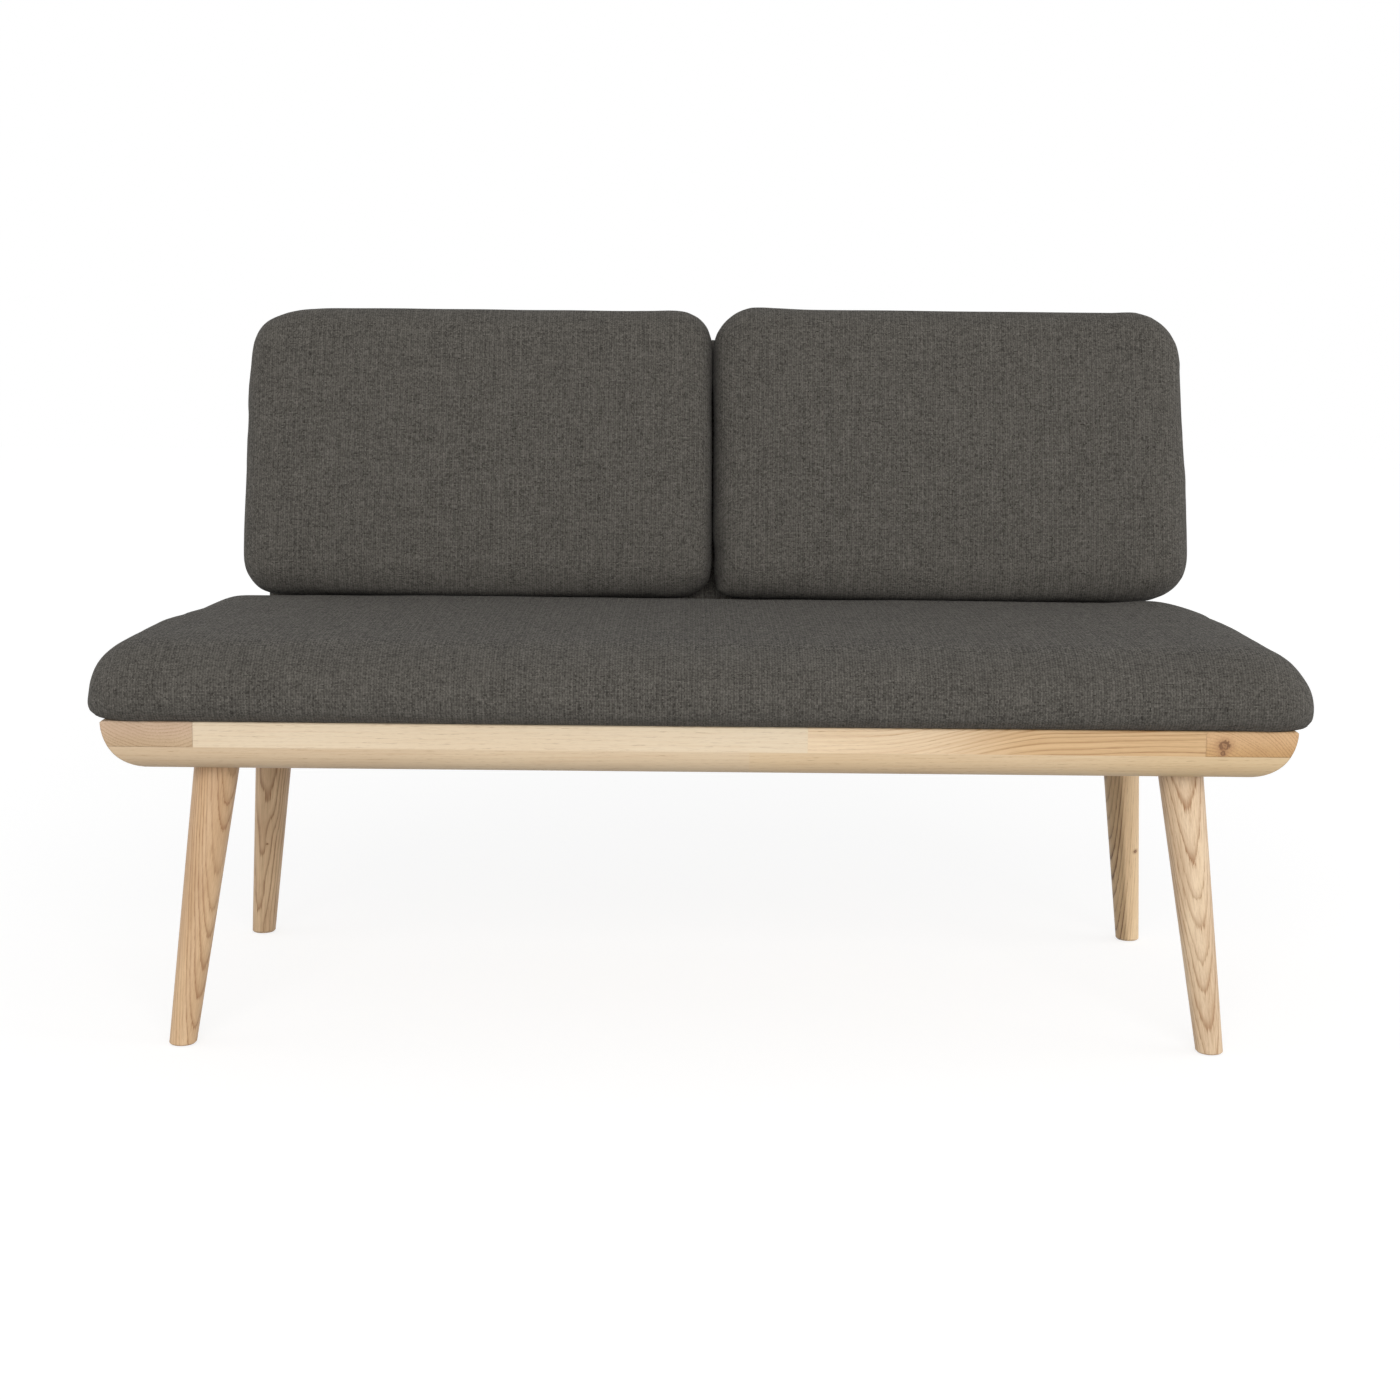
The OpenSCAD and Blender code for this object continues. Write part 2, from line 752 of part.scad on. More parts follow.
// Side view of the bar from its foot under the rear rail to the start of the slope
module bar_foot_outline() {
    translate([inner_y + rail_d - bracket_foot, underside_z - bracket_t])
        square([elbow_y - inner_y - rail_d + bracket_foot, bracket_t]);
    intersection() {
        translate([elbow_y, elbow_z]) difference() {
            circle(r = bend_r + bracket_t, $fn = 96);
            circle(r = bend_r, $fn = 96);
        }
        translate([elbow_y, elbow_z]) polygon([[0, 0], [0, -3 * bend_r],
            [3 * bend_r, -3 * bend_r], [3 * bend_r * cos(recline), -3 * bend_r * sin(recline)]]);
    }
}

module bracket(side) {
    start = (elbow_y - back_y) * sin(recline) + (elbow_z - top_z) * cos(recline) - 0.02;
    color([0.13, 0.13, 0.13]) difference() {
        union() {
            on_platform() translate([side * bracket_x - bracket_w / 2, 0, 0])
                rotate([90, 0, 90]) linear_extrude(bracket_w) bar_foot_outline();
            on_slope() at_bracket(side) translate([0, panel_t + bracket_t, 0])
                rotate([90, 0, 0]) linear_extrude(bracket_t) union() {
                    translate([-bracket_w / 2, start])
                        square([bracket_w, bracket_up - start - bracket_w / 2]);
                    translate([0, bracket_up - bracket_w / 2])
                        circle(d = bracket_w, $fn = 96);
                }
        }
        on_slope() bracket_bolt_spots() translate([0, panel_t + bracket_t + 1, 0])
            rotate([90, 0, 0]) cylinder(h = bracket_t + 2, d = bolt_d + 2 * bolt_play, $fn = 48);
        on_platform() rail_screw_set(0);
    }
}

module left_back_bracket() { bracket(-1); }

module right_back_bracket() { bracket(1); }

// Three countersunk screws hold each foot under the rear rail
module rail_screw_spots() {
    for (side = [-1, 1], spot = [[0, rail_screw_far], [-rail_screw_x, rail_screw_near],
        [rail_screw_x, rail_screw_near]])
        translate([side * bracket_x + spot[0], half_d - spot[1], underside_z - bracket_t])
            rotate([180, 0, 0]) children();
}

module rail_screw_set(play) {
    rail_screw_spots() wood_screw(rail_screw_d + 2 * play, rail_screw_len);
}

module bracket_rail_screws() {
    color([0.20, 0.20, 0.20]) on_platform() rail_screw_spots() difference() {
        wood_screw(rail_screw_d, rail_screw_len);
        screw_key(rail_screw_d);
    }
}
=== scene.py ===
"""Looks of a two-seat sofa on an ash platform: simulated cushions, covers, wood and fittings.

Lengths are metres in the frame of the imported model: +Z up, -Y the open front.
"""

import json
import math

import bmesh
import bpy
import numpy as np
from mathutils import Matrix, Vector

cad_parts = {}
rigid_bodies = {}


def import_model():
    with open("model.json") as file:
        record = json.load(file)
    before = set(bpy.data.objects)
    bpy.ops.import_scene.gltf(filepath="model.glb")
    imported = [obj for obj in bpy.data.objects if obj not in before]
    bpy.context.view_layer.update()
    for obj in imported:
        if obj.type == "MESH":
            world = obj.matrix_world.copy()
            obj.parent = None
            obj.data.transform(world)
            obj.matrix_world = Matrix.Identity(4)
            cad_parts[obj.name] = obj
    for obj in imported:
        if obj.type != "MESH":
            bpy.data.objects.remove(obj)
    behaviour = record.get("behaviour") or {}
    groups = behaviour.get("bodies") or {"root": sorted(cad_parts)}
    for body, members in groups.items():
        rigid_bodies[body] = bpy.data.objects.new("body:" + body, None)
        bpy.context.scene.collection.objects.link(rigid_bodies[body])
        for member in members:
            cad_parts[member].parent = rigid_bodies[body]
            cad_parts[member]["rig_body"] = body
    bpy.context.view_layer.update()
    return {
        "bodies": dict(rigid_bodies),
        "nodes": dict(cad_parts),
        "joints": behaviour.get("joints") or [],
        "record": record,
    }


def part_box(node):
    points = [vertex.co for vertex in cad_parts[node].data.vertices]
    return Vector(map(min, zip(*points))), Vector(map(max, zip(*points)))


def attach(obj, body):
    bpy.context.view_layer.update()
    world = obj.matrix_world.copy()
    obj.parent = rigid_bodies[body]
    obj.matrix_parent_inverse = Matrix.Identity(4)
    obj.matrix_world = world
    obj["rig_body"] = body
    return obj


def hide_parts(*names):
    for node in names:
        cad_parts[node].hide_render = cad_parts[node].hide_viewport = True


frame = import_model()
scene = bpy.context.scene
nodes = frame["nodes"]

# Places read from the frame
FRONT_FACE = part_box("front_rail")[0].y
REAR_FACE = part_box("rear_rail")[1].y
MIDDLE_Y = (FRONT_FACE + REAR_FACE) / 2
TOP_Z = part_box("front_rail")[1].z
UNDERSIDE_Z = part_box("front_rail")[0].z
UPPER_LAYER = 0.030
LAP_Z = TOP_Z - UPPER_LAYER

# The slope frame of the back: its zero is the panel's front face at the platform's top
RECLINE = math.radians(16)
PANEL_GAP = 0.0166
SLOPE = Matrix.Translation((0, REAR_FACE + PANEL_GAP, TOP_Z)) @ Matrix.Rotation(-RECLINE, 4, "X")


# Camera

# The photograph's view, fitted to the platform and the four feet
CAMERA_X, CAMERA_AWAY, CAMERA_Z = -0.0135, 2.8882, 0.8378
CAMERA_AT = Vector((CAMERA_X, MIDDLE_Y - CAMERA_AWAY, CAMERA_Z))
CAMERA_YAW = 0.0050
CAMERA_PITCH = 0.157
CAMERA_ROLL = 0.0104
FOCAL_PIXELS = 2274.6
PHOTO_PIXELS = 1400
SENSOR = 36.0


def add_camera():
    """The camera at the photograph's place, with its slight roll."""
    sin_y, cos_y = math.sin(CAMERA_YAW), math.cos(CAMERA_YAW)
    sin_p, cos_p = math.sin(CAMERA_PITCH), math.cos(CAMERA_PITCH)
    sin_r, cos_r = math.sin(CAMERA_ROLL), math.cos(CAMERA_ROLL)
    forward = Vector((sin_y * cos_p, cos_y * cos_p, -sin_p))
    right = Vector((cos_y, -sin_y, 0))
    up = right.cross(forward)
    rolled_right = right * cos_r + up * sin_r
    rolled_up = up * cos_r - right * sin_r
    data = bpy.data.cameras.new("camera")
    data.sensor_width = SENSOR
    data.lens = FOCAL_PIXELS / PHOTO_PIXELS * SENSOR
    data.clip_end = 100
    camera = bpy.data.objects.new("camera", data)
    turn = Matrix((rolled_right, rolled_up, -forward)).transposed()
    camera.matrix_world = Matrix.Translation(CAMERA_AT) @ turn.to_4x4()
    scene.collection.objects.link(camera)
    scene.camera = camera


# Materials

class Graph:
    """Short calls that build one material's nodes."""

    def __init__(self, name):
        self.material = bpy.data.materials.new(name)
        self.material.use_nodes = True
        self.tree = self.material.node_tree
        self.shader = self.tree.nodes["Principled BSDF"]
        coordinates = self.tree.nodes.new("ShaderNodeTexCoord")
        self.place = coordinates.outputs["Object"]
        self.normal = coordinates.outputs["Normal"]

    def put(self, socket, value):
        if isinstance(value, bpy.types.NodeSocket):
            self.tree.links.new(value, socket)
        elif value is not None:
            socket.default_value = value

    def set(self, name, value):
        self.put(self.shader.inputs[name], value)

    def math(self, operation, a, b=None, clamp=False):
        node = self.tree.nodes.new("ShaderNodeMath")
        node.operation = operation
        node.use_clamp = clamp
        for socket, value in zip(node.inputs, (a, b)):
            self.put(socket, value)
        return node.outputs[0]

    def vector(self, operation, a, b=None):
        node = self.tree.nodes.new("ShaderNodeVectorMath")
        node.operation = operation
        self.put(node.inputs[0], a)
        self.put(node.inputs[1], b)
        return node.outputs["Value" if operation in ("DOT_PRODUCT", "LENGTH") else "Vector"]

    def split(self, a):
        node = self.tree.nodes.new("ShaderNodeSeparateXYZ")
        self.put(node.inputs[0], a)
        return node.outputs[0], node.outputs[1], node.outputs[2]

    def join(self, x, y, z):
        node = self.tree.nodes.new("ShaderNodeCombineXYZ")
        for socket, value in zip(node.inputs, (x, y, z)):
            self.put(socket, value)
        return node.outputs[0]

    def times(self, *parts):
        """A vector whose three parts are each a value or a (value, factor) pair."""
        return self.join(*[self.math("MULTIPLY", *part) if isinstance(part, tuple) else part
                           for part in parts])

    def sway(self, value, noise, size, clamp=False):
        """A value moved up and down by a noise around its middle."""
        shift = self.math("MULTIPLY", self.math("SUBTRACT", noise, 0.5), size)
        return self.math("ADD", value, shift, clamp=clamp)

    def noise(self, at, scale, detail, roughness=0.5):
        node = self.tree.nodes.new("ShaderNodeTexNoise")
        self.put(node.inputs["Vector"], at)
        self.put(node.inputs["Scale"], scale)
        self.put(node.inputs["Detail"], detail)
        self.put(node.inputs["Roughness"], roughness)
        return node.outputs["Fac"]

    def cloud(self, at, scale):
        """Three unlike noises as a vector."""
        node = self.tree.nodes.new("ShaderNodeTexNoise")
        self.put(node.inputs["Vector"], at)
        self.put(node.inputs["Scale"], scale)
        return node.outputs["Color"]

    def speck(self, at):
        """A number from 0 to 1 that is unlike from cell to cell."""
        node = self.tree.nodes.new("ShaderNodeTexWhiteNoise")
        self.put(node.inputs["Vector"], at)
        return node.outputs["Value"]

    def span(self, value, low, high, to_low=0.0, to_high=1.0, smooth=False):
        node = self.tree.nodes.new("ShaderNodeMapRange")
        node.interpolation_type = "SMOOTHSTEP" if smooth else "LINEAR"
        for socket, v in zip(node.inputs, (value, low, high, to_low, to_high)):
            self.put(socket, v)
        return node.outputs[0]

    def mix(self, share, a, b, blend="MIX"):
        """Two colours mixed. The node's colour sockets are 6, 7 and 2."""
        node = self.tree.nodes.new("ShaderNodeMix")
        node.data_type = "RGBA"
        node.blend_type = blend
        self.put(node.inputs[0], share)
        self.put(node.inputs[6], a)
        self.put(node.inputs[7], b)
        return node.outputs[2]

    def curve(self, value, stops):
        """A grey value that runs through (place, level) stops."""
        node = self.tree.nodes.new("ShaderNodeValToRGB")
        ramp = node.color_ramp
        while len(ramp.elements) < len(stops):
            ramp.elements.new(0.5)
        for element, (place, level) in zip(ramp.elements, stops):
            element.position = place
            element.color = (level, level, level, 1)
        self.put(node.inputs[0], value)
        return node.outputs[0]

    def bump(self, height, distance, strength, radius=None):
        node = self.tree.nodes.new("ShaderNodeBump")
        self.put(node.inputs["Height"], height)
        self.put(node.inputs["Distance"], distance)
        self.put(node.inputs["Strength"], strength)
        if radius:
            self.put(node.inputs["Normal"], self.soft_edge(radius))
        return node.outputs[0]

    def soft_edge(self, radius):
        node = self.tree.nodes.new("ShaderNodeBevel")
        node.samples = 4
        node.inputs["Radius"].default_value = radius
        return node.outputs[0]


def tone(red, green, blue):
    """A colour given in the usual 0 to 255 steps, as the linear colour of a shader."""
    def linear(v):
        v = v / 255
        return v / 12.92 if v <= 0.04045 else ((v + 0.055) / 1.055) ** 2.4
    return (linear(red), linear(green), linear(blue), 1.0)


# Wood

PORE = tone(146, 106, 70)
KNOT_CORE = tone(112, 74, 46)
KNOT_HALO = tone(170, 124, 84)
# Darkness from one late line of growth to the next, and from a knot's heart outward
RING_STOPS = [(0.0, 1.0), (0.07, 0.80), (0.22, 0.30), (0.55, 0.08), (0.88, 0.22), (0.97, 0.9),
              (1.0, 1.0)]
KNOT_STOPS = [(0, 0.75), (0.3, 0.25), (0.55, 0.9), (0.75, 0.8), (1, 0)]
# Noise turns per metre across and along the wood
FIBRES = (560, 11)
PORES = (1500, 90)
# Half the width of the glue line between two staves
JOINT_EDGE = 0.0004
# A stave that keeps the pith where it is
STILL = (0, 0, 0)


def knot(g, colour, centre, size):
    """A small ragged knot: a dark ring and heart in a warm halo, around a point."""
    shake = size * 1.6
    shaken = g.vector("ADD", g.vector("SUBTRACT", g.place, centre), g.vector(
        "MULTIPLY", g.vector("SUBTRACT", g.cloud(g.place, 260), (0.5, 0.5, 0.5)),
        (shake, shake, shake)))
    away = g.vector("LENGTH", g.vector("MULTIPLY", shaken, (1.0, 0.25, 1.15)))
    colour = g.mix(g.span(away, size * 0.9, size * 3.4, 0.6, 0.0, smooth=True), colour,
                   KNOT_HALO)
    return g.mix(g.curve(g.span(away, 0, size * 1.5), KNOT_STOPS), colour, KNOT_CORE)


def wood(name, grain, pith, ring, pale, deep, contrast, warp=0.006, wave=(7, 1.3), staves=(),
         knots=(), sweep=None, butt_shade=0.9, seed=0.0, fibre=1.1, soft=0.0022,
         ragged=0.0008):
    """Solid wood: growth rings round a pith line, fibres, pores and a slow change of tone.

    grain is the direction along the wood, pith a point on the pith line and ring the width of a
    year. Each stave is (mask, pale tone, deep tone, contrast, shift of the pith), where mask is a
    function of the graph. sweep, a function of the graph, gives a height that is taken off z, so
    that the rings sweep. warp is how far the rings wander, wave how fast they do so across and
    along the wood, in turns per metre, and ragged how far the fibres pull the ring lines out of
    true. fibre is how strongly single fibres show, butt_shade the brightness of end grain, soft
    the radius of the edges, and seed shifts the figure.
    """
    g = Graph(name)
    grain = Vector(grain).normalized()
    side = grain.cross(Vector((0.0, 0.0, 1.0) if abs(grain.z) < 0.8 else (0.0, 1.0, 0.0)))
    side.normalize()
    third = grain.cross(side)
    at = g.vector("SUBTRACT", g.place, tuple(Vector(pith)))
    strength = contrast
    colour = pale
    dark = deep
    for mask, light, shade, factor, shift in staves:
        share = mask(g)
        at = g.vector("ADD", at, g.vector("MULTIPLY", g.join(share, share, share), shift))
        colour = g.mix(share, colour, light)
        dark = g.mix(share, dark, shade)
        strength = g.math("ADD", g.math("MULTIPLY", share, factor - contrast), strength)
    if sweep:
        at = g.vector("SUBTRACT", at, g.join(0.0, 0.0, sweep(g)))
    along = g.vector("DOT_PRODUCT", at, tuple(grain))
    across = g.vector("DOT_PRODUCT", at, tuple(side))
    depth = g.vector("DOT_PRODUCT", at, tuple(third))
    slow = g.times((across, wave[0]), (depth, wave[0]), (along, wave[1]))
    wander = g.noise(g.vector("ADD", slow, (seed, seed, seed)), 1.0, 2, 0.5)
    quiver = g.noise(g.vector("MULTIPLY", slow, (5, 5, 9)), 1.0, 2, 0.5)
    radius = g.vector("LENGTH", g.join(across, depth, 0.0))
    radius = g.sway(radius, wander, warp * 6)
    radius = g.sway(radius, quiver, warp * 0.3)
    fine = g.times((across, FIBRES[0]), (depth, FIBRES[0]), (along, FIBRES[1]))
    streak = g.noise(fine, 1.0, 3, 0.65)
    radius = g.sway(radius, streak, ragged)
    count = g.math("DIVIDE", radius, ring)
    uneven = g.noise(g.times((count, 0.33), seed, 3.0), 1.0, 0)
    count = g.math("ADD", count, g.math("MULTIPLY", uneven, 1.6))
    phase = g.math("FRACT", count)
    line = g.curve(phase, RING_STOPS)
    year = g.noise(g.times((g.math("FLOOR", count), 0.37), seed, 0.0), 3.7, 0)
    line = g.math("MULTIPLY", line, g.span(year, 0.3, 0.7, 0.4, 1.2))
    hair = g.times((across, PORES[0]), (depth, PORES[0]), (along, PORES[1]))
    pore = g.span(g.noise(hair, 1.0, 1), 0.56, 0.70)
    pore = g.math("MULTIPLY", pore, g.span(line, 0.1, 0.8, 0.3, 1.0))
    broad = g.noise(g.vector("ADD", slow, (3.1 + seed, 7.7, 1.9)), 1.7, 2)
    colour = g.mix(g.span(broad, 0.35, 0.68, 0.0, 0.3), colour, dark)
    shade = g.sway(g.math("MULTIPLY", line, strength), streak, fibre, clamp=True)
    colour = g.mix(shade, colour, dark)
    colour = g.mix(g.math("MULTIPLY", pore, 0.42), colour, PORE)
    facing = g.math("ABSOLUTE", g.vector("DOT_PRODUCT", g.normal, tuple(grain)))
    butt = g.span(facing, 0.55, 0.9, 1.0, butt_shade, smooth=True)
    squared = g.math("MULTIPLY", butt, butt)
    colour = g.mix(1.0, colour, g.join(butt, squared, g.math("MULTIPLY", squared, butt)),
                   "MULTIPLY")
    for spot in knots:
        colour = knot(g, colour, *spot)
    g.set("Base Color", colour)
    g.set("Roughness", g.span(streak, 0.3, 0.7, 0.42, 0.55))
    g.set("Specular IOR Level", 0.4)
    relief = g.math("SUBTRACT", g.math("MULTIPLY", streak, 0.4), pore)
    g.set("Normal", g.bump(relief, 0.00008, 0.7, radius=soft))
    return g.material


def between(axis, low, high):
    """Mask of the stretch from low to high along one axis, with a crisp joint at each end."""
    def mask(g):
        value = g.split(g.place)[axis]
        rise = g.span(value, low - JOINT_EDGE, low + JOINT_EDGE)
        fall = g.span(value, high - JOINT_EDGE, high + JOINT_EDGE, 1.0, 0.0)
        return g.math("MULTIPLY", rise, fall)
    return mask


def slope_up(axis, low, high):
    """Mask that rises softly from low to high along one axis."""
    return lambda g: g.span(g.split(g.place)[axis], low, high, smooth=True)


def aside(origin, way, low, high):
    """Mask that rises softly with the distance from an origin along a direction."""
    def mask(g):
        reach = g.vector("DOT_PRODUCT", g.vector("SUBTRACT", g.place, tuple(origin)), tuple(way))
        return g.span(reach, low, high, smooth=True)
    return mask


def both(*masks):
    """Mask where all of the masks overlap."""
    def mask(g):
        share = masks[0](g)
        for other in masks[1:]:
            share = g.math("MULTIPLY", share, other(g))
        return share
    return mask


CREAM = tone(236, 218, 190)
STRAW = tone(216, 186, 148)
RIGHT_STAVE_X = 0.126
LOW_STAVE_X = 0.058
SWEEP_FROM = 0.20
SWEEP_TO = 0.42
SWEEP_RISE = 0.034
UPPER = between(2, LAP_Z, 1.0)
LOWER = between(2, 0.0, LAP_Z)
RIGHT_STAVE = both(UPPER, between(0, RIGHT_STAVE_X, 1.0))


def rail_sweep(g):
    """The right upper stave's rings rise to the right over a short stretch."""
    rise = g.span(g.split(g.place)[0], SWEEP_FROM, SWEEP_TO, 0.0, SWEEP_RISE, smooth=True)
    return g.math("MULTIPLY", rise, RIGHT_STAVE(g))


def rail_materials():
    """Materials of the platform's rails, with the photograph's staves and knot."""
    long_staves = [
        (RIGHT_STAVE, tone(240, 216, 182), tone(204, 162, 116), 0.5, (0, 0.02, 0.013)),
        (both(RIGHT_STAVE, slope_up(0, 0.24, 0.40)), tone(220, 184, 138),
         tone(170, 124, 76), 0.75, STILL),
        (LOWER, tone(224, 202, 170), tone(206, 172, 136), 0.25, (0.3, 0.03, -0.02)),
        (both(LOWER, between(0, LOW_STAVE_X, 1.0)), tone(224, 199, 163), tone(204, 168, 126),
         0.2, (-0.2, 0.02, 0.017)),
        (both(LOWER, slope_up(0, -0.22, -0.40)), tone(217, 193, 161), tone(196, 163, 127), 0.25,
         STILL),
        (both(LOWER, slope_up(0, 0.35, 0.62)), tone(219, 192, 152), tone(198, 160, 116), 0.25,
         STILL),
    ]
    front = wood("ash_front_rail", (1, 0, 0.012), (0, FRONT_FACE + 0.055, UNDERSIDE_Z - 0.03),
                 0.0048, CREAM, STRAW, 0.26, staves=long_staves, sweep=rail_sweep)
    rear = wood("ash_rear_rail", (1, 0, -0.01), (0, REAR_FACE - 0.05, UNDERSIDE_Z - 0.05),
                0.0045, CREAM, STRAW, 0.34, staves=long_staves[2:], seed=4.2)
    low_left = [(slope_up(2, TOP_Z - 0.006, LAP_Z), tone(210, 186, 154), tone(159, 127, 92),
                 0.55, STILL)]
    left = wood("ash_left_end", (0, 1, 0.01), (-0.632, 0, TOP_Z + 0.095), 0.0040,
                tone(224, 200, 175), tone(170, 136, 105), 0.55, staves=low_left, seed=1.3,
                butt_shade=0.95)
    low_right = [(slope_up(2, TOP_Z - 0.006, LAP_Z), tone(210, 171, 120),
                  tone(152, 106, 61), 0.5, STILL)]
    right = wood("ash_right_end", (0, 1, -0.008), (0.592, 0, TOP_Z - 0.105), 0.0036,
                 tone(226, 190, 146), tone(170, 124, 78), 0.5, staves=low_right, seed=2.1,
                 butt_shade=0.95,
                 knots=[((0.6135, FRONT_FACE, 0.3755), 0.0052),
                        ((0.612, FRONT_FACE, 0.3665), 0.0026)])
    return {"front_rail": front, "rear_rail": rear, "left_end_rail": left,
            "right_end_rail": right}


FOOT_R = 0.016
LEG_TOP_R = 0.027
# Height of the small knots in the rear legs, as a share of the leg
LEG_KNOT_UP = 0.41


def leg_line(side, end):
    """Name, foot and top of one leg, from its node's box."""
    name = ("rear_" if end > 0 else "front_") + ("right_leg" if side > 0 else "left_leg")
    low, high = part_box(name)
    foot = Vector((high.x - FOOT_R if side > 0 else low.x + FOOT_R,
                   high.y - FOOT_R if end > 0 else low.y + FOOT_R, low.z))
    top = Vector((low.x + LEG_TOP_R if side > 0 else high.x - LEG_TOP_R,
                  low.y + LEG_TOP_R if end > 0 else high.y - LEG_TOP_R, high.z))
    return name, foot, top


def leg_materials():
    """Each leg's own figure, with painted light on the rear right leg and painted shade at the
    top of the rear left leg.

    The rings lie round a pith outside the leg, off to one side of it (towards). They lean away
    from the leg's own line (lean, a slope), and so they show as nested V's on that side.
    """
    looks = {
        (-1, -1): dict(towards=(-0.84, 0.54), off=0.075, lean=0.055, ring=0.0033, warp=0.0009,
                       pale=tone(220, 186, 146), deep=tone(152, 106, 66), contrast=0.75,
                       fibre=1.1),
        (1, -1): dict(towards=(0.02, 1.0), off=0.080, lean=0.050, ring=0.0036, warp=0.0014,
                      pale=tone(234, 208, 174), deep=tone(156, 110, 68), contrast=0.74,
                      fibre=1.3),
        (-1, 1): dict(towards=(0.25, 0.97), off=0.060, lean=0.004, ring=0.0042, warp=0.0030,
                      pale=tone(228, 198, 160), deep=tone(146, 104, 70), contrast=0.75,
                      fibre=1.1),
        # Painted light: the rear right leg has paler tones and a fainter figure than the others,
        # so that it shows brightly lit
        (1, 1): dict(towards=(1.0, 0.10), off=0.060, lean=0.09, ring=0.0036, warp=0.0006,
                     pale=tone(250, 220, 178), deep=tone(200, 160, 116), contrast=0.45,
                     fibre=0.9),
    }
    made = {}
    for k, ((side, end), look) in enumerate(looks.items()):
        name, foot, top = leg_line(side, end)
        axis = (top - foot).normalized()
        away = Vector((*look["towards"], 0)).normalized()
        pith = (foot + top) / 2 + away * look["off"]
        spots, staves = [], []
        if end > 0:
            spot = foot.lerp(top, LEG_KNOT_UP)
            spot.y -= 0.020
            spot.x += 0.001 if side < 0 else 0.013
            spots = [(tuple(spot), 0.0010 if side < 0 else 0.0020)]
            level = axis.cross(Vector((0, 1, 0)))
            if side > 0:
                staves = [(aside(foot, level, 0.000, 0.007), tone(214, 184, 144),
                           tone(108, 76, 48), 1.0, STILL)]
            else:
                # Painted shade: the rear left leg darkens towards its top, under the platform
                staves = [(slope_up(2, 0.20, 0.30), tone(206, 172, 134), tone(126, 88, 58), 0.85,
                           STILL)]
        made[name] = wood("ash_" + name, axis + away * look["lean"], pith, look["ring"],
                          look["pale"], look["deep"], look["contrast"], warp=look["warp"],
                          wave=(16, 5), staves=staves, knots=spots, seed=5.0 + k,
                          fibre=look["fibre"], soft=0.001, ragged=0.0015)
    return made


def plain_wood(name, grain, pith, pale, deep, contrast):
    """Unfinished wood of a hidden piece."""
    return wood(name, grain, pith, 0.004, pale, deep, contrast, butt_shade=0.85, soft=0.0008)


# Thickness of one ply, and how many pebbles of the powder coat lie on a metre
PLY = 0.0013
PEBBLES = 900


def plywood(name, normal_axis, low):
    """Birch plywood: a pale figured face, and plies that alternate across the thickness."""
    g = Graph(name)
    level = g.vector("DOT_PRODUCT", g.vector("SUBTRACT", g.place, tuple(low)), tuple(normal_axis))
    count = g.math("FLOORED_MODULO", g.math("FLOOR", g.math("DIVIDE", level, PLY)), 2.0)
    x, y, z = g.split(g.place)
    figure = g.noise(g.times((x, 3), (y, 40), (z, 40)), 1.0, 4, 0.6)
    face = g.mix(g.span(figure, 0.3, 0.7), tone(226, 200, 160), tone(198, 164, 120))
    plies = g.mix(count, tone(214, 182, 138), tone(168, 128, 88))
    side = g.math("ABSOLUTE", g.vector("DOT_PRODUCT", g.normal, tuple(normal_axis)))
    g.set("Base Color", g.mix(g.span(side, 0.5, 0.8), plies, face))
    g.set("Roughness", 0.6)
    g.set("Normal", g.bump(figure, 0.00012, 0.6))
    return g.material


# Metal, plastic and tape

def painted_steel(name, colour):
    """Powder coat: a fine pebbled satin skin."""
    g = Graph(name)
    grain = g.noise(g.place, PEBBLES, 2, 0.6)
    wear_and_relief_shade = g.noise(g.place, 30, 3, 0.6)
    g.set("Base Color", g.mix(g.span(wear_and_relief_shade, 0.3, 0.7, 0.0, 0.5), colour,
                              tuple(v * 1.6 for v in colour[:3]) + (1.0,)))
    g.set("Roughness", g.span(grain, 0.3, 0.7, 0.38, 0.52))
    g.set("Normal", g.bump(grain, 0.00008, 0.6, radius=0.0006))
    return g.material


def zinc_steel(name):
    """Bright zinc plate: grey metal with a faint yellow and violet bloom and turning marks."""
    g = Graph(name)
    bloom = g.noise(g.place, 130, 2)
    marks = g.noise(g.vector("MULTIPLY", g.place, (1, 1, 14)), 260, 2)
    g.set("Base Color", g.mix(bloom, tone(196, 192, 176), tone(170, 172, 184)))
    g.set("Metallic", 1.0)
    g.set("Roughness", g.span(marks, 0.3, 0.7, 0.26, 0.42))
    g.set("Normal", g.bump(marks, 0.00003, 0.5, radius=0.0004))
    return g.material


def nylon(name):
    """Moulded floor glide: matt with scuffs from the floor."""
    g = Graph(name)
    scuff = g.noise(g.vector("MULTIPLY", g.place, (900, 220, 60)), 1.0, 3, 0.6)
    g.set("Base Color", g.mix(g.span(scuff, 0.45, 0.7), tone(150, 142, 128), tone(176, 170, 158)))
    g.set("Roughness", g.span(scuff, 0.3, 0.7, 0.45, 0.7))
    g.set("Normal", g.bump(scuff, 0.00005, 0.5))
    return g.material


# Distance between two rows of hooks and between two hooks in a row
HOOK_ROW = 0.0018
HOOK_STEP = 0.0015


def hook_tape(name):
    """Hook tape: rows of tiny stiff hooks on a black woven base."""
    g = Graph(name)
    x, y, z = g.split(g.place)
    row = g.math("SINE", g.math("MULTIPLY", x, 2 * math.pi / HOOK_ROW))
    post = g.math("SINE", g.math("MULTIPLY", g.math("ADD", y, z), 2 * math.pi / HOOK_STEP))
    height = g.math("MULTIPLY", row, post)
    g.set("Base Color", g.mix(g.span(height, -0.2, 0.6), tone(16, 16, 17), tone(48, 48, 50)))
    g.set("Roughness", 0.55)
    g.set("Normal", g.bump(height, 0.0005, 0.8))
    return g.material


# Fabric

WARP_PITCH = 0.0032
WEFT_PITCH = 0.0019


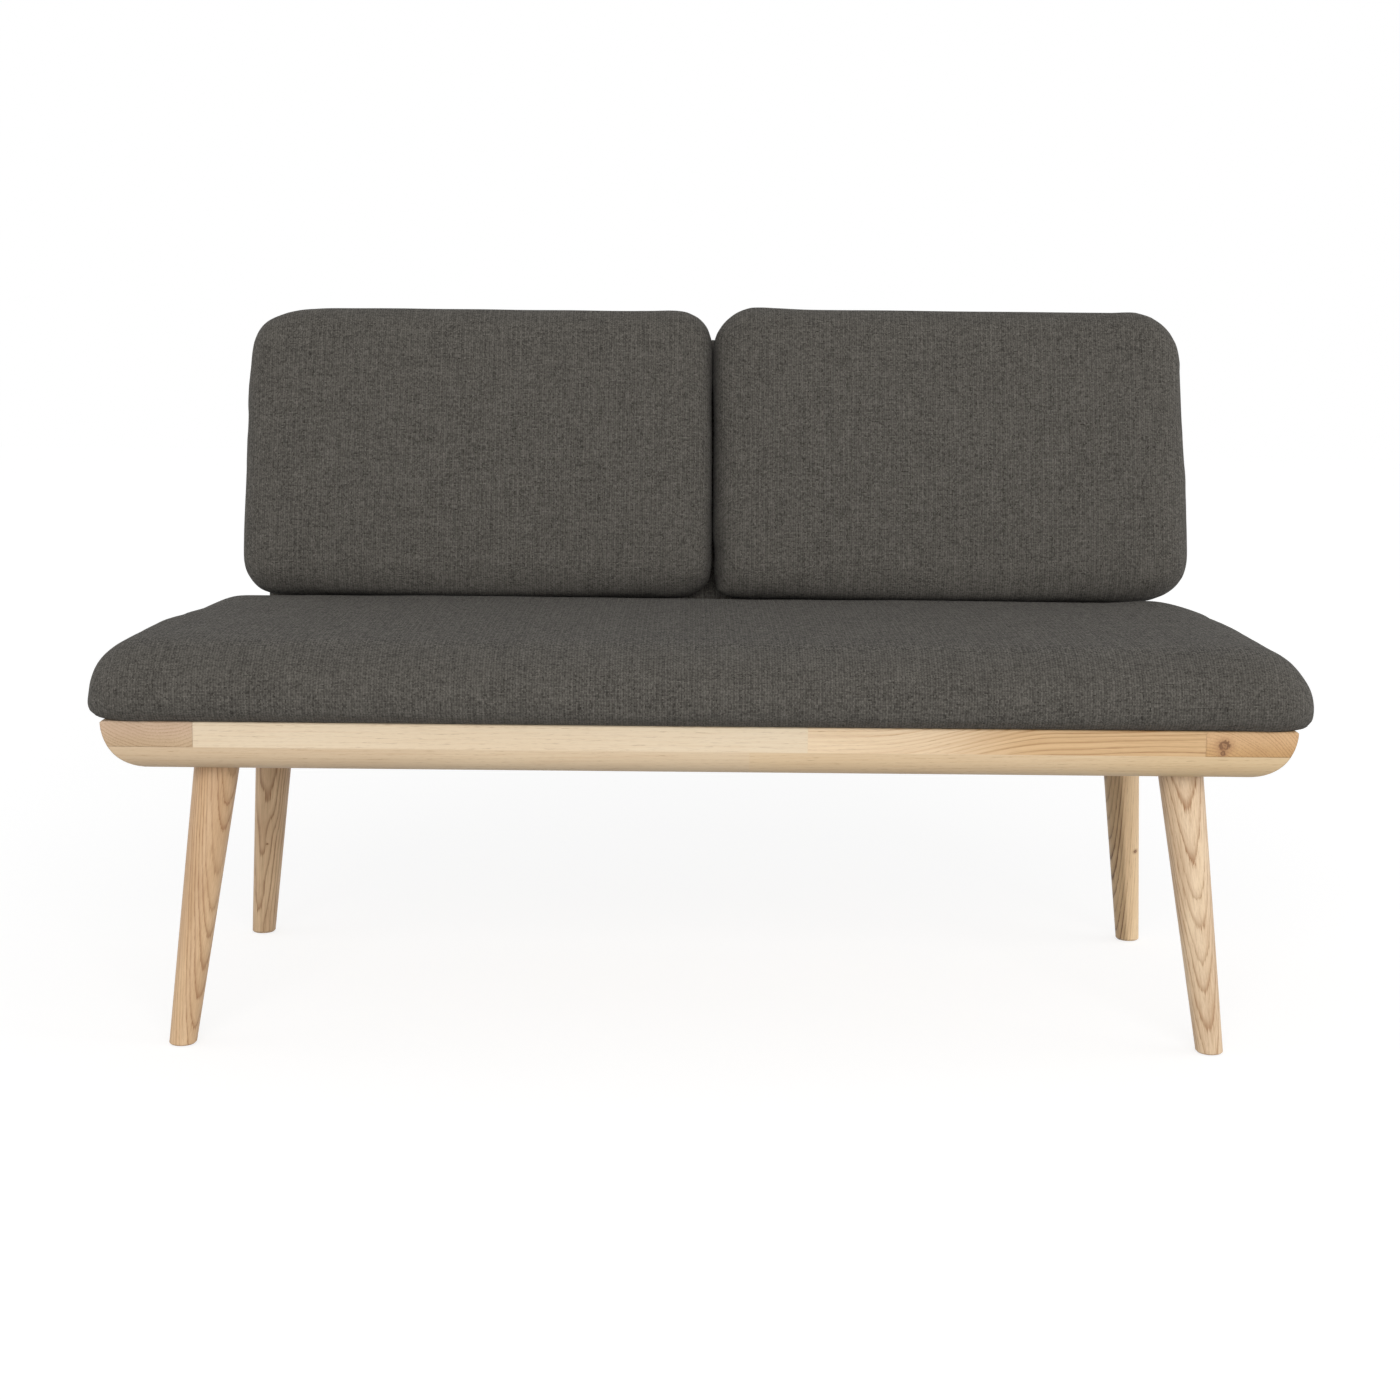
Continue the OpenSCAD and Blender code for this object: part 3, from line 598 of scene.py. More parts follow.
def fabric(name, dark, light):
    """Woven upholstery cloth in a mottled warm grey: uneven warp ribs, weft slubs and flecks,
    with painted shade in the weave's hollows and painted yarn relief where the cloth lies level.
    """
    g = Graph(name)
    reader = g.tree.nodes.new("ShaderNodeAttribute")
    reader.attribute_name = "cloth"
    a, b, _ = g.split(reader.outputs["Vector"])
    across, along = g.math("DIVIDE", a, WARP_PITCH), g.math("DIVIDE", b, WEFT_PITCH)
    column, row = g.math("FLOOR", across), g.math("FLOOR", along)
    over = g.math("FLOORED_MODULO", g.math("ADD", column, row), 2.0)
    parity = g.math("FLOORED_MODULO", column, 2.0)
    rib = g.math("ABSOLUTE", g.math("SINE", g.math("MULTIPLY", across, math.pi)))
    pick = g.math("ABSOLUTE", g.math("SINE", g.math("MULTIPLY", along, math.pi)))
    warp = g.math("MULTIPLY", rib, g.span(pick, 0, 1, 0.6, 1))
    weft = g.math("MULTIPLY", pick, g.span(rib, 0, 1, 0.6, 1))
    height = g.mix(over, warp, weft)
    strand = g.math("FLOOR", g.math("MULTIPLY", across, 2.0))
    long_slub = g.noise(g.times((strand, 3.71), (b, 230), 0.0), 1.0, 1, 0.6)
    cross_slub = g.noise(g.times((a, 130), (row, 3.37), 9.0), 1.0, 1, 0.6)
    fleck = g.speck(g.join(strand, row, 4.0))
    yarn = g.noise(g.times((strand, 5.13), (b, 14), 15.0), 1.0, 0)
    pick_tone = g.noise(g.times((a, 22), (row, 5.71), 21.0), 1.0, 0)
    mottle = g.noise(g.join(a, b, 2.0), 60, 3, 0.6)
    level = g.math("MULTIPLY", g.math("SUBTRACT", long_slub, 0.5), 1.6)
    for value, share in ((cross_slub, 1.5), (fleck, 1.05), (mottle, 0.3), (parity, 0.13),
                         (pick_tone, 0.6)):
        level = g.sway(level, value, share)
    # Where the cloth lies nearly level, painted light and shade of its yarn relief: the yarns'
    # streaks stand out more
    streak = g.noise(g.times((strand, 4.3), (b, 110), 27.0), 1.0, 1, 0.6)
    wear_and_relief_shade = g.span(g.split(g.normal)[2], 0.88, 0.997, 0.0, 0.75, smooth=True)
    relief_shaded_level = g.sway(level, streak, 2.2)
    level = g.sway(level, yarn, 0.75)
    level = g.math("ADD", level, g.math("MULTIPLY", relief_shaded_level, wear_and_relief_shade))
    colour = g.mix(g.span(level, -1.03, 1.03), dark, light)
    # Painted shade in the weave's hollows, and a little painted light on its raised yarns
    weave_hollow_shade = g.span(height, 0.1, 0.8, 0.66, 1.08)
    colour = g.mix(1.0, colour, g.join(weave_hollow_shade, weave_hollow_shade, weave_hollow_shade), "MULTIPLY")
    g.set("Base Color", colour)
    g.set("Roughness", 0.92)
    g.set("Specular IOR Level", 0.15)
    g.set("Sheen Weight", 0.04)
    g.set("Sheen Roughness", 0.5)
    fuzz = g.noise(g.join(a, b, 6.0), 1900, 2, 0.6)
    relief = g.math("ADD", g.math("ADD", height, g.math("MULTIPLY", long_slub, 0.8)),
                    g.math("MULTIPLY", fuzz, 0.5))
    g.set("Normal", g.bump(relief, 0.0005, 0.9))
    return g.material


FABRIC_DARK = tone(54, 51, 47)
FABRIC_LIGHT = tone(116, 112, 105)


# Meshes

def new_piece(name, mesh):
    obj = bpy.data.objects.new(name, mesh)
    scene.collection.objects.link(obj)
    return obj


def closed_piece(name, verts, faces):
    """A closed, smoothly shaded piece with its normals turned outward."""
    mesh = bpy.data.meshes.new(name)
    mesh.from_pydata(verts, [], faces)
    clean = bmesh.new()
    clean.from_mesh(mesh)
    bmesh.ops.recalc_face_normals(clean, faces=clean.faces)
    clean.to_mesh(mesh)
    clean.free()
    mesh.shade_smooth()
    return new_piece(name, mesh)


def evaluated_mesh(obj):
    """A plain mesh of what the object's modifiers make."""
    bpy.context.view_layer.update()
    graph = bpy.context.evaluated_depsgraph_get()
    return bpy.data.meshes.new_from_object(obj.evaluated_get(graph))


def apply_modifiers(obj):
    mesh = evaluated_mesh(obj)
    obj.modifiers.clear()
    old = obj.data
    obj.data = mesh
    bpy.data.meshes.remove(old)


def points(mesh):
    co = np.empty(len(mesh.vertices) * 3)
    mesh.vertices.foreach_get("co", co)
    return co.reshape(-1, 3)


def set_points(mesh, co):
    mesh.vertices.foreach_set("co", co.reshape(-1))
    mesh.update()


def normals(mesh):
    out = np.empty(len(mesh.vertices) * 3)
    mesh.vertices.foreach_get("normal", out)
    return out.reshape(-1, 3)


def smooth_step(t):
    t = np.clip(t, 0, 1)
    return t * t * (3 - 2 * t)


def shade_smooth(mesh):
    mesh.shade_smooth()
    if "sharp_edge" in mesh.attributes:
        mesh.attributes.remove(mesh.attributes["sharp_edge"])


class Net:
    """The edges of a mesh, which draw values towards the mean of their neighbours."""

    def __init__(self, mesh):
        ends = np.empty(len(mesh.edges) * 2, dtype=np.int64)
        mesh.edges.foreach_get("vertices", ends)
        self.a, self.b = ends.reshape(-1, 2).T
        self.size = len(mesh.vertices)
        self.count = np.bincount(np.concatenate([self.a, self.b]), minlength=self.size)

    def mean(self, values):
        total = np.stack([np.bincount(self.a, v[self.b], self.size)
                          + np.bincount(self.b, v[self.a], self.size) for v in values.T], 1)
        return total / np.maximum(self.count, 1)[:, None]

    def blur(self, values, times):
        for _ in range(times):
            values = (values + self.mean(values)) / 2
        return values

    def fair(self, values, times):
        """Smooths out what is small and leaves the large form its size."""
        for _ in range(times):
            for share in (0.5, -0.52):
                values = values + (self.mean(values) - values) * share
        return values


# Rounds of fairing that take the facets off a soft node's form
FAIR_ROUNDS = 24


def skin_of(node, name, voxel):
    """The soft node's form as an even skin, with the facets smoothed out."""
    mesh = nodes[node].data.copy()
    mesh.materials.clear()
    work = bmesh.new()
    work.from_mesh(mesh)
    bmesh.ops.remove_doubles(work, verts=work.verts, dist=1e-5)
    work.to_mesh(mesh)
    work.free()
    obj = new_piece(name, mesh)
    remesh = obj.modifiers.new("even", "REMESH")
    remesh.mode = "VOXEL"
    remesh.voxel_size = voxel
    apply_modifiers(obj)
    set_points(obj.data, Net(obj.data).fair(points(obj.data), FAIR_ROUNDS))
    shade_smooth(obj.data)
    return obj


# The cloth simulation: how far the form is drawn in first, the pressure in it, how far a point
# may move, and the number of steps
SLACK = 0.007
PRESSURE = 4.0
CAP = 0.026
CLOTH_STEPS = 20
# What is kept of its folds: rounds of blurring that take off their noise and their large form,
# the deepest fold and the share of it
NOISE_ROUNDS = 5
FORM_ROUNDS = 60
DEEPEST_FOLD = 0.0015
FOLD_SHARE = 0.5
# Slow hollows in the foam
HOLLOW_DEPTH = 0.0010
HOLLOW_WAVE = 0.16


def swell(obj):
    """Cloth blown up from inside: how far each point ends from the form's skin."""
    skin, out = points(obj.data), normals(obj.data)
    start = skin - out * SLACK
    bag = new_piece(obj.name + "_bag", obj.data.copy())
    set_points(bag.data, start)
    cloth = bag.modifiers.new("cloth", "CLOTH")
    settings = cloth.settings
    settings.quality = 5
    settings.mass = 0.3
    settings.tension_stiffness = 15
    settings.compression_stiffness = 15
    settings.shear_stiffness = 5
    settings.bending_stiffness = 0.5
    settings.use_pressure = True
    settings.uniform_pressure_force = PRESSURE
    settings.effector_weights.gravity = 0
    cloth.collision_settings.use_self_collision = False
    cloth.point_cache.frame_start = 1
    cloth.point_cache.frame_end = CLOTH_STEPS
    for step in range(1, CLOTH_STEPS + 1):
        scene.frame_set(step)
    mesh = evaluated_mesh(bag)
    move = points(mesh) - start
    bpy.data.meshes.remove(mesh)
    bpy.data.objects.remove(bag)
    scene.frame_set(1)
    length = np.linalg.norm(move, axis=1, keepdims=True)
    move *= np.minimum(1, CAP / np.maximum(length, 1e-9))
    return start + move - skin


def take_relief(obj, relief):
    """Keeps the small folds of the swelling, without its large change of form."""
    net = Net(obj.data)
    co, out = points(obj.data), normals(obj.data)
    along = (relief * out).sum(axis=1, keepdims=True)
    along = net.blur(along, NOISE_ROUNDS)
    along = np.clip(along - net.blur(along, FORM_ROUNDS), -DEEPEST_FOLD, DEEPEST_FOLD)
    set_points(obj.data, co + out * (along * FOLD_SHARE))


def undulate(mesh, seed):
    """Slow hollows, as foam under a loose cover has them. They only go inward."""
    rng = np.random.default_rng(seed)
    co, out = points(mesh), normals(mesh)
    total = np.zeros(len(co))
    waves = 12
    for _ in range(waves):
        way = rng.normal(size=3)
        way *= 2 * math.pi / (HOLLOW_WAVE * rng.uniform(0.6, 1.8)) / np.linalg.norm(way)
        total += np.sin(co @ way + rng.uniform(0, 2 * math.pi))
    total = np.clip(total / math.sqrt(waves / 2), -2, 2) / 2
    lying = smooth_step((-out[:, 2] - 0.5) / 0.4)
    set_points(mesh, co + out * (HOLLOW_DEPTH * (total - 1) / 2 * (1 - lying))[:, None])


def nudge(mesh, places):
    """Moves the surface around each place: (middle, reach along x, y and z, shift)."""
    co = points(mesh)
    for middle, reach, shift in places:
        away = (((co - middle) / reach) ** 2).sum(axis=1)
        co = co + np.exp(-away)[:, None] * shift
    set_points(mesh, co)


def in_frame(co, matrix):
    """Points, one to a row, taken through a matrix."""
    turn = np.array(matrix.to_3x3())
    return co @ turn.T + np.array(matrix.translation)


# Half width and depth of the valley that a seam lies in, and the step of points along it
VALLEY_WIDTH = 0.0045
VALLEY_DEPTH = 0.0013
SEAM_STEP = 0.004


def seam_valley(mesh, frame, axis, at):
    """A soft valley where the plane at one level of a frame's axis cuts the surface."""
    inverse = frame.inverted()
    co, out = points(mesh), normals(mesh)
    local = in_frame(co, inverse)
    facing = (out @ np.array(frame.to_3x3()))[:, axis]
    away = (local[:, axis] - at) / np.sqrt(np.maximum(1 - facing ** 2, 0.04))
    dip = np.exp(-(away / VALLEY_WIDTH) ** 2)
    set_points(mesh, co - out * (dip * VALLEY_DEPTH)[:, None])


def cut_line(mesh, frame, axis, at):
    """Points and surface normals along the closed line where that plane cuts the surface."""
    origin = frame @ Vector([at if k == axis else 0 for k in range(3)])
    across = frame.to_3x3() @ Vector([1 if k == axis else 0 for k in range(3)])
    work = bmesh.new()
    work.from_mesh(mesh)
    everything = work.verts[:] + work.edges[:] + work.faces[:]
    cut = bmesh.ops.bisect_plane(work, geom=everything, plane_co=origin, plane_no=across)
    work.normal_update()
    links = {}
    for edge in cut["geom_cut"]:
        if isinstance(edge, bmesh.types.BMEdge):
            a, b = edge.verts
            links.setdefault(a, []).append(b)
            links.setdefault(b, []).append(a)
    start = min(links, key=lambda v: (round(v.co.x, 5), round(v.co.z, 5)))
    chain, last, here = [start], None, start
    while True:
        onward = [v for v in links[here] if v is not last]
        if not onward or onward[0] is start:
            break
        last, here = here, onward[0]
        chain.append(here)
    line = np.array([v.co for v in chain])
    out = np.array([v.normal for v in chain])
    work.free()
    loop = np.vstack([line, line[:1]])
    length = np.concatenate([[0], np.cumsum(np.linalg.norm(np.diff(loop, axis=0), axis=1))])
    spots = np.linspace(0, length[-1], max(8, int(length[-1] / SEAM_STEP)), endpoint=False)
    out = np.vstack([out, out[:1]])
    line = np.stack([np.interp(spots, length, loop[:, k]) for k in range(3)], 1)
    out = np.stack([np.interp(spots, length, out[:, k]) for k in range(3)], 1)
    return line, out / np.linalg.norm(out, axis=1, keepdims=True)


def mean_round(rows, times):
    """Each row of a closed line drawn towards its two neighbours."""
    for _ in range(times):
        before, after = np.roll(rows, 1, 0), np.roll(rows, -1, 0)
        rows = rows * 0.5 + (before + after) * 0.25
    return rows


def band(name, line, out, profile):
    """A strip with a closed cross-section laid along a closed line on a surface.

    profile holds (across, up) pairs in metres, in order round the section.
    """
    line, out = mean_round(line, 3), mean_round(out, 6)
    ahead = np.roll(line, -1, 0) - np.roll(line, 1, 0)
    side = np.cross(out, ahead)
    side /= np.linalg.norm(side, axis=1, keepdims=True)
    up = np.cross(ahead, side)
    up /= np.linalg.norm(up, axis=1, keepdims=True)
    section = np.array(profile)
    rings = (line[:, None] + side[:, None] * section[None, :, :1]
             + up[:, None] * section[None, :, 1:])
    count, sides = len(line), len(section)
    faces = []
    for i in range(count):
        j = (i + 1) % count
        for k in range(sides):
            m = (k + 1) % sides
            faces.append((i * sides + k, i * sides + m, j * sides + m, j * sides + k))
    return closed_piece(name, [tuple(p) for p in rings.reshape(-1, 3)], faces)


# Two folds that meet in a valley
SEAM = [(x * 0.001, y * 0.001) for x, y in (
    (-3.4, -0.9), (-2.8, 0.1), (-1.7, 0.55), (-0.7, 0.35), (0.0, -0.5), (0.7, 0.35),
    (1.7, 0.55), (2.8, 0.1), (3.4, -0.9), (0.0, -1.6))]


def lay_cloth(obj, frame):
    """Cloth coordinates on each corner: the lengths along the two yarn directions."""
    mesh = obj.data
    local = in_frame(points(mesh), frame.inverted())
    count = len(mesh.loops)
    corner = np.empty(count, dtype=np.int32)
    mesh.loops.foreach_get("vertex_index", corner)
    face_n = np.empty(len(mesh.polygons) * 3)
    mesh.polygons.foreach_get("normal", face_n)
    facing = face_n.reshape(-1, 3) @ np.array(frame.to_3x3())
    total = np.empty(len(mesh.polygons), dtype=np.int32)
    mesh.polygons.foreach_get("loop_total", total)
    to_x, to_y, to_z = np.repeat(facing, total, axis=0).T
    ends = np.abs(to_x) > np.maximum(np.abs(to_y), np.abs(to_z))
    x, y, z = local[corner].T
    a = np.where(ends, np.where(to_x > 0, y, -y), x)
    b = np.where(ends, z, np.where(to_y > 0, -z, z) + np.where(to_z < 0, -y, y))
    cloth = np.stack([a, b, np.zeros(count)], 1)
    layer = mesh.attributes.new("cloth", "FLOAT_VECTOR", "CORNER")
    layer.data.foreach_set("vector", cloth.reshape(-1))


def cushion(node, voxel, seed, places, material):
    """One stuffed cushion in its node's place."""
    piece = skin_of(node, node + "_cover", voxel)
    take_relief(piece, swell(piece))
    undulate(piece.data, seed)
    nudge(piece.data, places)
    finer = piece.modifiers.new("finer", "SUBSURF")
    finer.levels = 1
    apply_modifiers(piece)
    shade_smooth(piece.data)
    piece.data.materials.append(material)
    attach(piece, node)
    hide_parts(node)
    return piece


def add_seam(piece, name, frame, axis, at, material):
    """A plain seam round the piece at one level of its frame."""
    seam_valley(piece.data, frame, axis, at)
    line, out = cut_line(piece.data, frame, axis, at)
    strip = band(name, line, out, SEAM)
    lay_cloth(strip, frame)
    strip.data.materials.append(material)
    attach(strip, piece["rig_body"])


# Back panel

# Parts of each corner's arc, and of the long and the short sides
ARC_PARTS = 10
SIDE_PARTS = (24, 8)


def outline(width, height, radius, base):
    """Closed outline of an upright rounded rectangle, as (x, z) from the lower right corner."""
    half = width / 2
    middles = [(half - radius, base + radius, -90), (half - radius, base + height - radius, 0),
               (radius - half, base + height - radius, 90), (radius - half, base + radius, 180)]
    corners = []
    for cx, cz, start in middles:
        arc = [math.radians(start + 90 * i / ARC_PARTS) for i in range(ARC_PARTS + 1)]
        corners.append([(cx + radius * math.cos(a), cz + radius * math.sin(a)) for a in arc])
    path = []
    for k, arc in enumerate(corners):
        path += arc
        steps = SIDE_PARTS[1 - k % 2]
        a, b = Vector(arc[-1]), Vector(corners[(k + 1) % 4][0])
        path += [tuple(a.lerp(b, i / steps)) for i in range(1, steps)]
    return path


def upright_solid(name, size, profile):
    """A slab in the slope frame, lofted through (inset, depth) rings and closed at both ends."""
    width, height, radius, base = size
    verts, faces = [], []
    for inset, depth in profile:
        ring = outline(width - 2 * inset, height - 2 * inset, max(radius - inset, 0.004),
                       base + inset)
        verts += [SLOPE @ Vector((x, depth, z)) for x, z in ring]
    n = len(ring)
    for k in range(len(profile) - 1):
        for i in range(n):
            j = (i + 1) % n
            faces.append((k * n + i, k * n + j, (k + 1) * n + j, (k + 1) * n + i))
    faces.append(tuple(range(n)))
    faces.append(tuple(range(len(verts) - 1, len(verts) - n - 1, -1)))
    return closed_piece(name, verts, faces)


# Width, height, corner radius and height of the lower edge up the slope
PANEL_SIZE = (1.220, 0.458, 0.046, 0.010)
# Inset and depth of each ring of the two covers, in millimetres
FRONT_COVER = [
    (200, 0), (120, 0), (60, 0.1), (34, 0.3), (22, 0.8), (14, 2.0), (8.5, 4.0), (4.2, 6.8),
    (1.4, 10.2), (0.2, 14), (0, 19), (0.5, 23), (2.0, 25.8), (4.6, 27.5), (8, 27.9), (22, 27.9),
    (22, 27.1), (8.1, 27.1), (8.1, 12.1), (40, 12.1), (200, 12.1)]
REAR_COVER = [
    (200, 28), (7.4, 28), (6.6, 28.6), (6.4, 29.6), (7.2, 30.9), (9.4, 31.7), (13, 31.95),
    (60, 32), (200, 32)]


def millimetres(rows):
    return [tuple(v / 1000 for v in row) for row in rows]


def back_panel(material):
    """The low padded back: a cover pulled round the board, closed by a flat rear cover."""
    front = upright_solid("back_front_cover", PANEL_SIZE, millimetres(FRONT_COVER))
    rear = upright_solid("back_rear_cover", PANEL_SIZE, millimetres(REAR_COVER))
    for piece, node, fill in ((front, "back_cover_front", 0.9), (rear, "back_cover_rear", 0.9)):
        lay_cloth(piece, SLOPE)
        piece.data.materials.append(material)
        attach(piece, "frame")
        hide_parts(node)


# Light and floor

def area_lamp(name, at, target, size, power):
    data = bpy.data.lights.new(name, "AREA")
    data.shape = "RECTANGLE"
    data.size, data.size_y = size
    data.energy = power
    lamp = bpy.data.objects.new(name, data)
    lamp.location = at
    lamp.rotation_euler = (Vector(target) - Vector(at)).to_track_quat("-Z", "Y").to_euler()
    scene.collection.objects.link(lamp)


def seen_directly(tree):
    """One where a camera, mirror or glass ray arrives, else nothing."""
    light = tree.nodes.new("ShaderNodeLightPath")
    total = light.outputs["Is Camera Ray"]
    for name in ("Is Glossy Ray", "Is Transmission Ray"):
        add = tree.nodes.new("ShaderNodeMath")
        add.operation = "MAXIMUM"
        tree.links.new(total, add.inputs[0])
        tree.links.new(light.outputs[name], add.inputs[1])
        total = add.outputs[0]
    return total


# How strongly the surround lights from the horizon and from above
HORIZON = 0.90
ZENITH = 0.30
LAMP_TARGET_Z = 0.45
# Name, place from the platform's middle, size and power of each lamp
LAMPS = [
    ("front_lamp", (0.2, -6.0, 2.5), (5.4, 3.2), 205),
    ("right_lamp", (4.4, -0.4, 1.2), (3.0, 2.2), 46),
    ("left_lamp", (-4.4, -0.4, 1.2), (3.0, 2.2), 24),
]
# The floor's grey as it shows and as it lights the object, half its width, and the glow that
# turns it white: from and to which distance, and how strong there
FLOOR_SHOWN = 0.36
FLOOR_ALBEDO = 0.42
FLOOR_HALF = 14
FLOOR_GLOW = (0.9, 4.5, 0.755, 0.82)


def light_scene():
    """A white surround, which lights more softly than it shows, and the lamps."""
    world = bpy.data.worlds.new("studio")
    scene.world = world
    world.use_nodes = True
    tree = world.node_tree
    background = tree.nodes["Background"]
    background.inputs["Color"].default_value = (1, 1, 1, 1)
    way = tree.nodes.new("ShaderNodeTexCoord")
    parts = tree.nodes.new("ShaderNodeSeparateXYZ")
    tree.links.new(way.outputs["Generated"], parts.inputs[0])
    fade = tree.nodes.new("ShaderNodeMapRange")
    tree.links.new(parts.outputs[2], fade.inputs[0])
    fade.inputs[3].default_value = HORIZON
    fade.inputs[4].default_value = ZENITH
    share = tree.nodes.new("ShaderNodeMapRange")
    tree.links.new(seen_directly(tree), share.inputs[0])
    tree.links.new(fade.outputs[0], share.inputs[3])
    share.inputs[4].default_value = 1.0
    tree.links.new(share.outputs[0], background.inputs["Strength"])
    target = (0, MIDDLE_Y, LAMP_TARGET_Z)
    for name, (x, y, z), size, power in LAMPS:
        area_lamp(name, (x, MIDDLE_Y + y, z), target, size, power)


def add_floor():
    """White floor that fades into the surround and keeps the object's soft shadow."""
    mesh = bpy.data.meshes.new("floor")
    r = FLOOR_HALF
    mesh.from_pydata([(-r, -r, 0), (r, -r, 0), (r, r, 0), (-r, r, 0)], [], [(0, 1, 2, 3)])
    floor = new_piece("floor", mesh)
    material = bpy.data.materials.new("floor_paint")
    material.use_nodes = True
    tree = material.node_tree
    tree.nodes.clear()
    shown = tree.nodes.new("ShaderNodeBsdfDiffuse")
    shown.inputs["Color"].default_value = (FLOOR_SHOWN, FLOOR_SHOWN, FLOOR_SHOWN, 1)
    place = tree.nodes.new("ShaderNodeTexCoord")
    away = tree.nodes.new("ShaderNodeVectorMath")
    away.operation = "LENGTH"
    tree.links.new(place.outputs["Object"], away.inputs[0])
    fade = tree.nodes.new("ShaderNodeMapRange")
    tree.links.new(away.outputs["Value"], fade.inputs[0])
    for socket, value in zip(fade.inputs[1:5], FLOOR_GLOW):
        socket.default_value = value
    lift = tree.nodes.new("ShaderNodeEmission")
    tree.links.new(fade.outputs[0], lift.inputs["Strength"])
    together = tree.nodes.new("ShaderNodeAddShader")
    tree.links.new(shown.outputs[0], together.inputs[0])
    tree.links.new(lift.outputs[0], together.inputs[1])
    bounce = tree.nodes.new("ShaderNodeBsdfDiffuse")
    bounce.inputs["Color"].default_value = (FLOOR_ALBEDO, FLOOR_ALBEDO, FLOOR_ALBEDO, 1)
    choose = tree.nodes.new("ShaderNodeMixShader")
    tree.links.new(seen_directly(tree), choose.inputs[0])
    tree.links.new(bounce.outputs[0], choose.inputs[1])
    tree.links.new(together.outputs[0], choose.inputs[2])
    out = tree.nodes.new("ShaderNodeOutputMaterial")
    tree.links.new(choose.outputs[0], out.inputs[0])
    mesh.materials.append(material)


# Assembly

def dress(material, *names):
    for name in names:
        for slot in nodes[name].material_slots:
            slot.material = material


def dress_frame():
    """Better materials on the carried-over nodes."""
    for name, material in {**rail_materials(), **leg_materials()}.items():
        dress(material, name)
    beech = plain_wood("beech_rail", (0, 1, 0), (0.3, 0, 0.2), tone(222, 190, 150),
                       tone(186, 144, 104), 0.35)
    pegs = plain_wood("beech_peg", (0, 0, 1), (0.1, 0.3, 0), tone(224, 192, 152),
                      tone(180, 138, 98), 0.4)
    dress(beech, "left_cross_rail", "right_cross_rail", "cross_rail_dowels")
    dress(pegs, "corner_dowels")
    dress(plywood("ply_deck", (0, 0, 1), (0, 0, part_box("seat_deck")[0].z)), "seat_deck")
    through = SLOPE.to_3x3() @ Vector((0, 1, 0))
    dress(plywood("ply_board", through, SLOPE @ Vector((0, 0.012, 0))), "back_board")
    black = painted_steel("black_coat", tone(38, 38, 39))
    dress(black, "left_back_bracket", "right_back_bracket", "bracket_rail_screws",
          "bracket_bolts")
    dress(zinc_steel("zinc_plate"), "deck_screws", "leg_bolts", "leg_washers", "leg_inserts",
          "tee_nuts")
    dress(nylon("glide_plastic"), "foot_glides")
    dress(hook_tape("hook_rows"), "seat_grip_strips", "back_grip_strips")


# Where the photographed cushions leave their plain forms: middle, reach, shift
SEAT_NUDGES = [
    ((-0.685, 0.110, 0.480), (0.042, 0.12, 0.06), (0, 0, -0.0115)),
    ((-0.690, 0.030, 0.475), (0.016, 0.12, 0.06), (0, 0, -0.0028)),
    ((-0.640, 0.130, 0.480), (0.018, 0.06, 0.05), (0, 0, 0.0018)),
    ((-0.712, -0.100, 0.455), (0.020, 0.20, 0.03), (0, 0, 0.003)),
    ((0.700, 0.100, 0.475), (0.050, 0.12, 0.06), (0, 0, -0.003)),
    ((0.703, -0.050, 0.462), (0.020, 0.20, 0.03), (0, 0, 0.003)),
    ((0.625, 0.175, 0.480), (0.045, 0.05, 0.04), (0, 0, 0.0045)),
    ((0.718, -0.200, 0.458), (0.040, 0.30, 0.030), (-0.005, 0, -0.001)),
    ((-0.715, -0.200, 0.402), (0.040, 0.30, 0.014), (-0.006, 0, -0.001)),
    ((0.724, -0.200, 0.402), (0.020, 0.30, 0.020), (0.001, 0, -0.003)),
    ((-0.330, 0.172, 0.480), (0.30, 0.03, 0.03), (0, 0, 0.002)),
    ((0.350, 0.172, 0.480), (0.30, 0.03, 0.03), (0, 0, 0.002)),
]
LEFT_NUDGES = [
    ((0.005, 0.260, 0.865), (0.030, 0.10, 0.030), (0.001, 0, 0.002)),
    ((-0.583, 0.260, 0.880), (0.036, 0.10, 0.040), (0, 0, -0.0062)),
    ((-0.634, 0.240, 0.820), (0.040, 0.10, 0.030), (0.003, 0, 0)),
    ((0.006, 0.185, 0.660), (0.015, 0.10, 0.24), (0.002, -0.009, 0)),
    ((-0.004, 0.165, 0.495), (0.020, 0.06, 0.025), (-0.009, 0, 0.004)),
    ((-0.330, 0.165, 0.490), (0.28, 0.03, 0.016), (0, -0.006, -0.0015)),
    ((-0.330, 0.175, 0.535), (0.34, 0.05, 0.030), (0, 0.003, 0)),
]
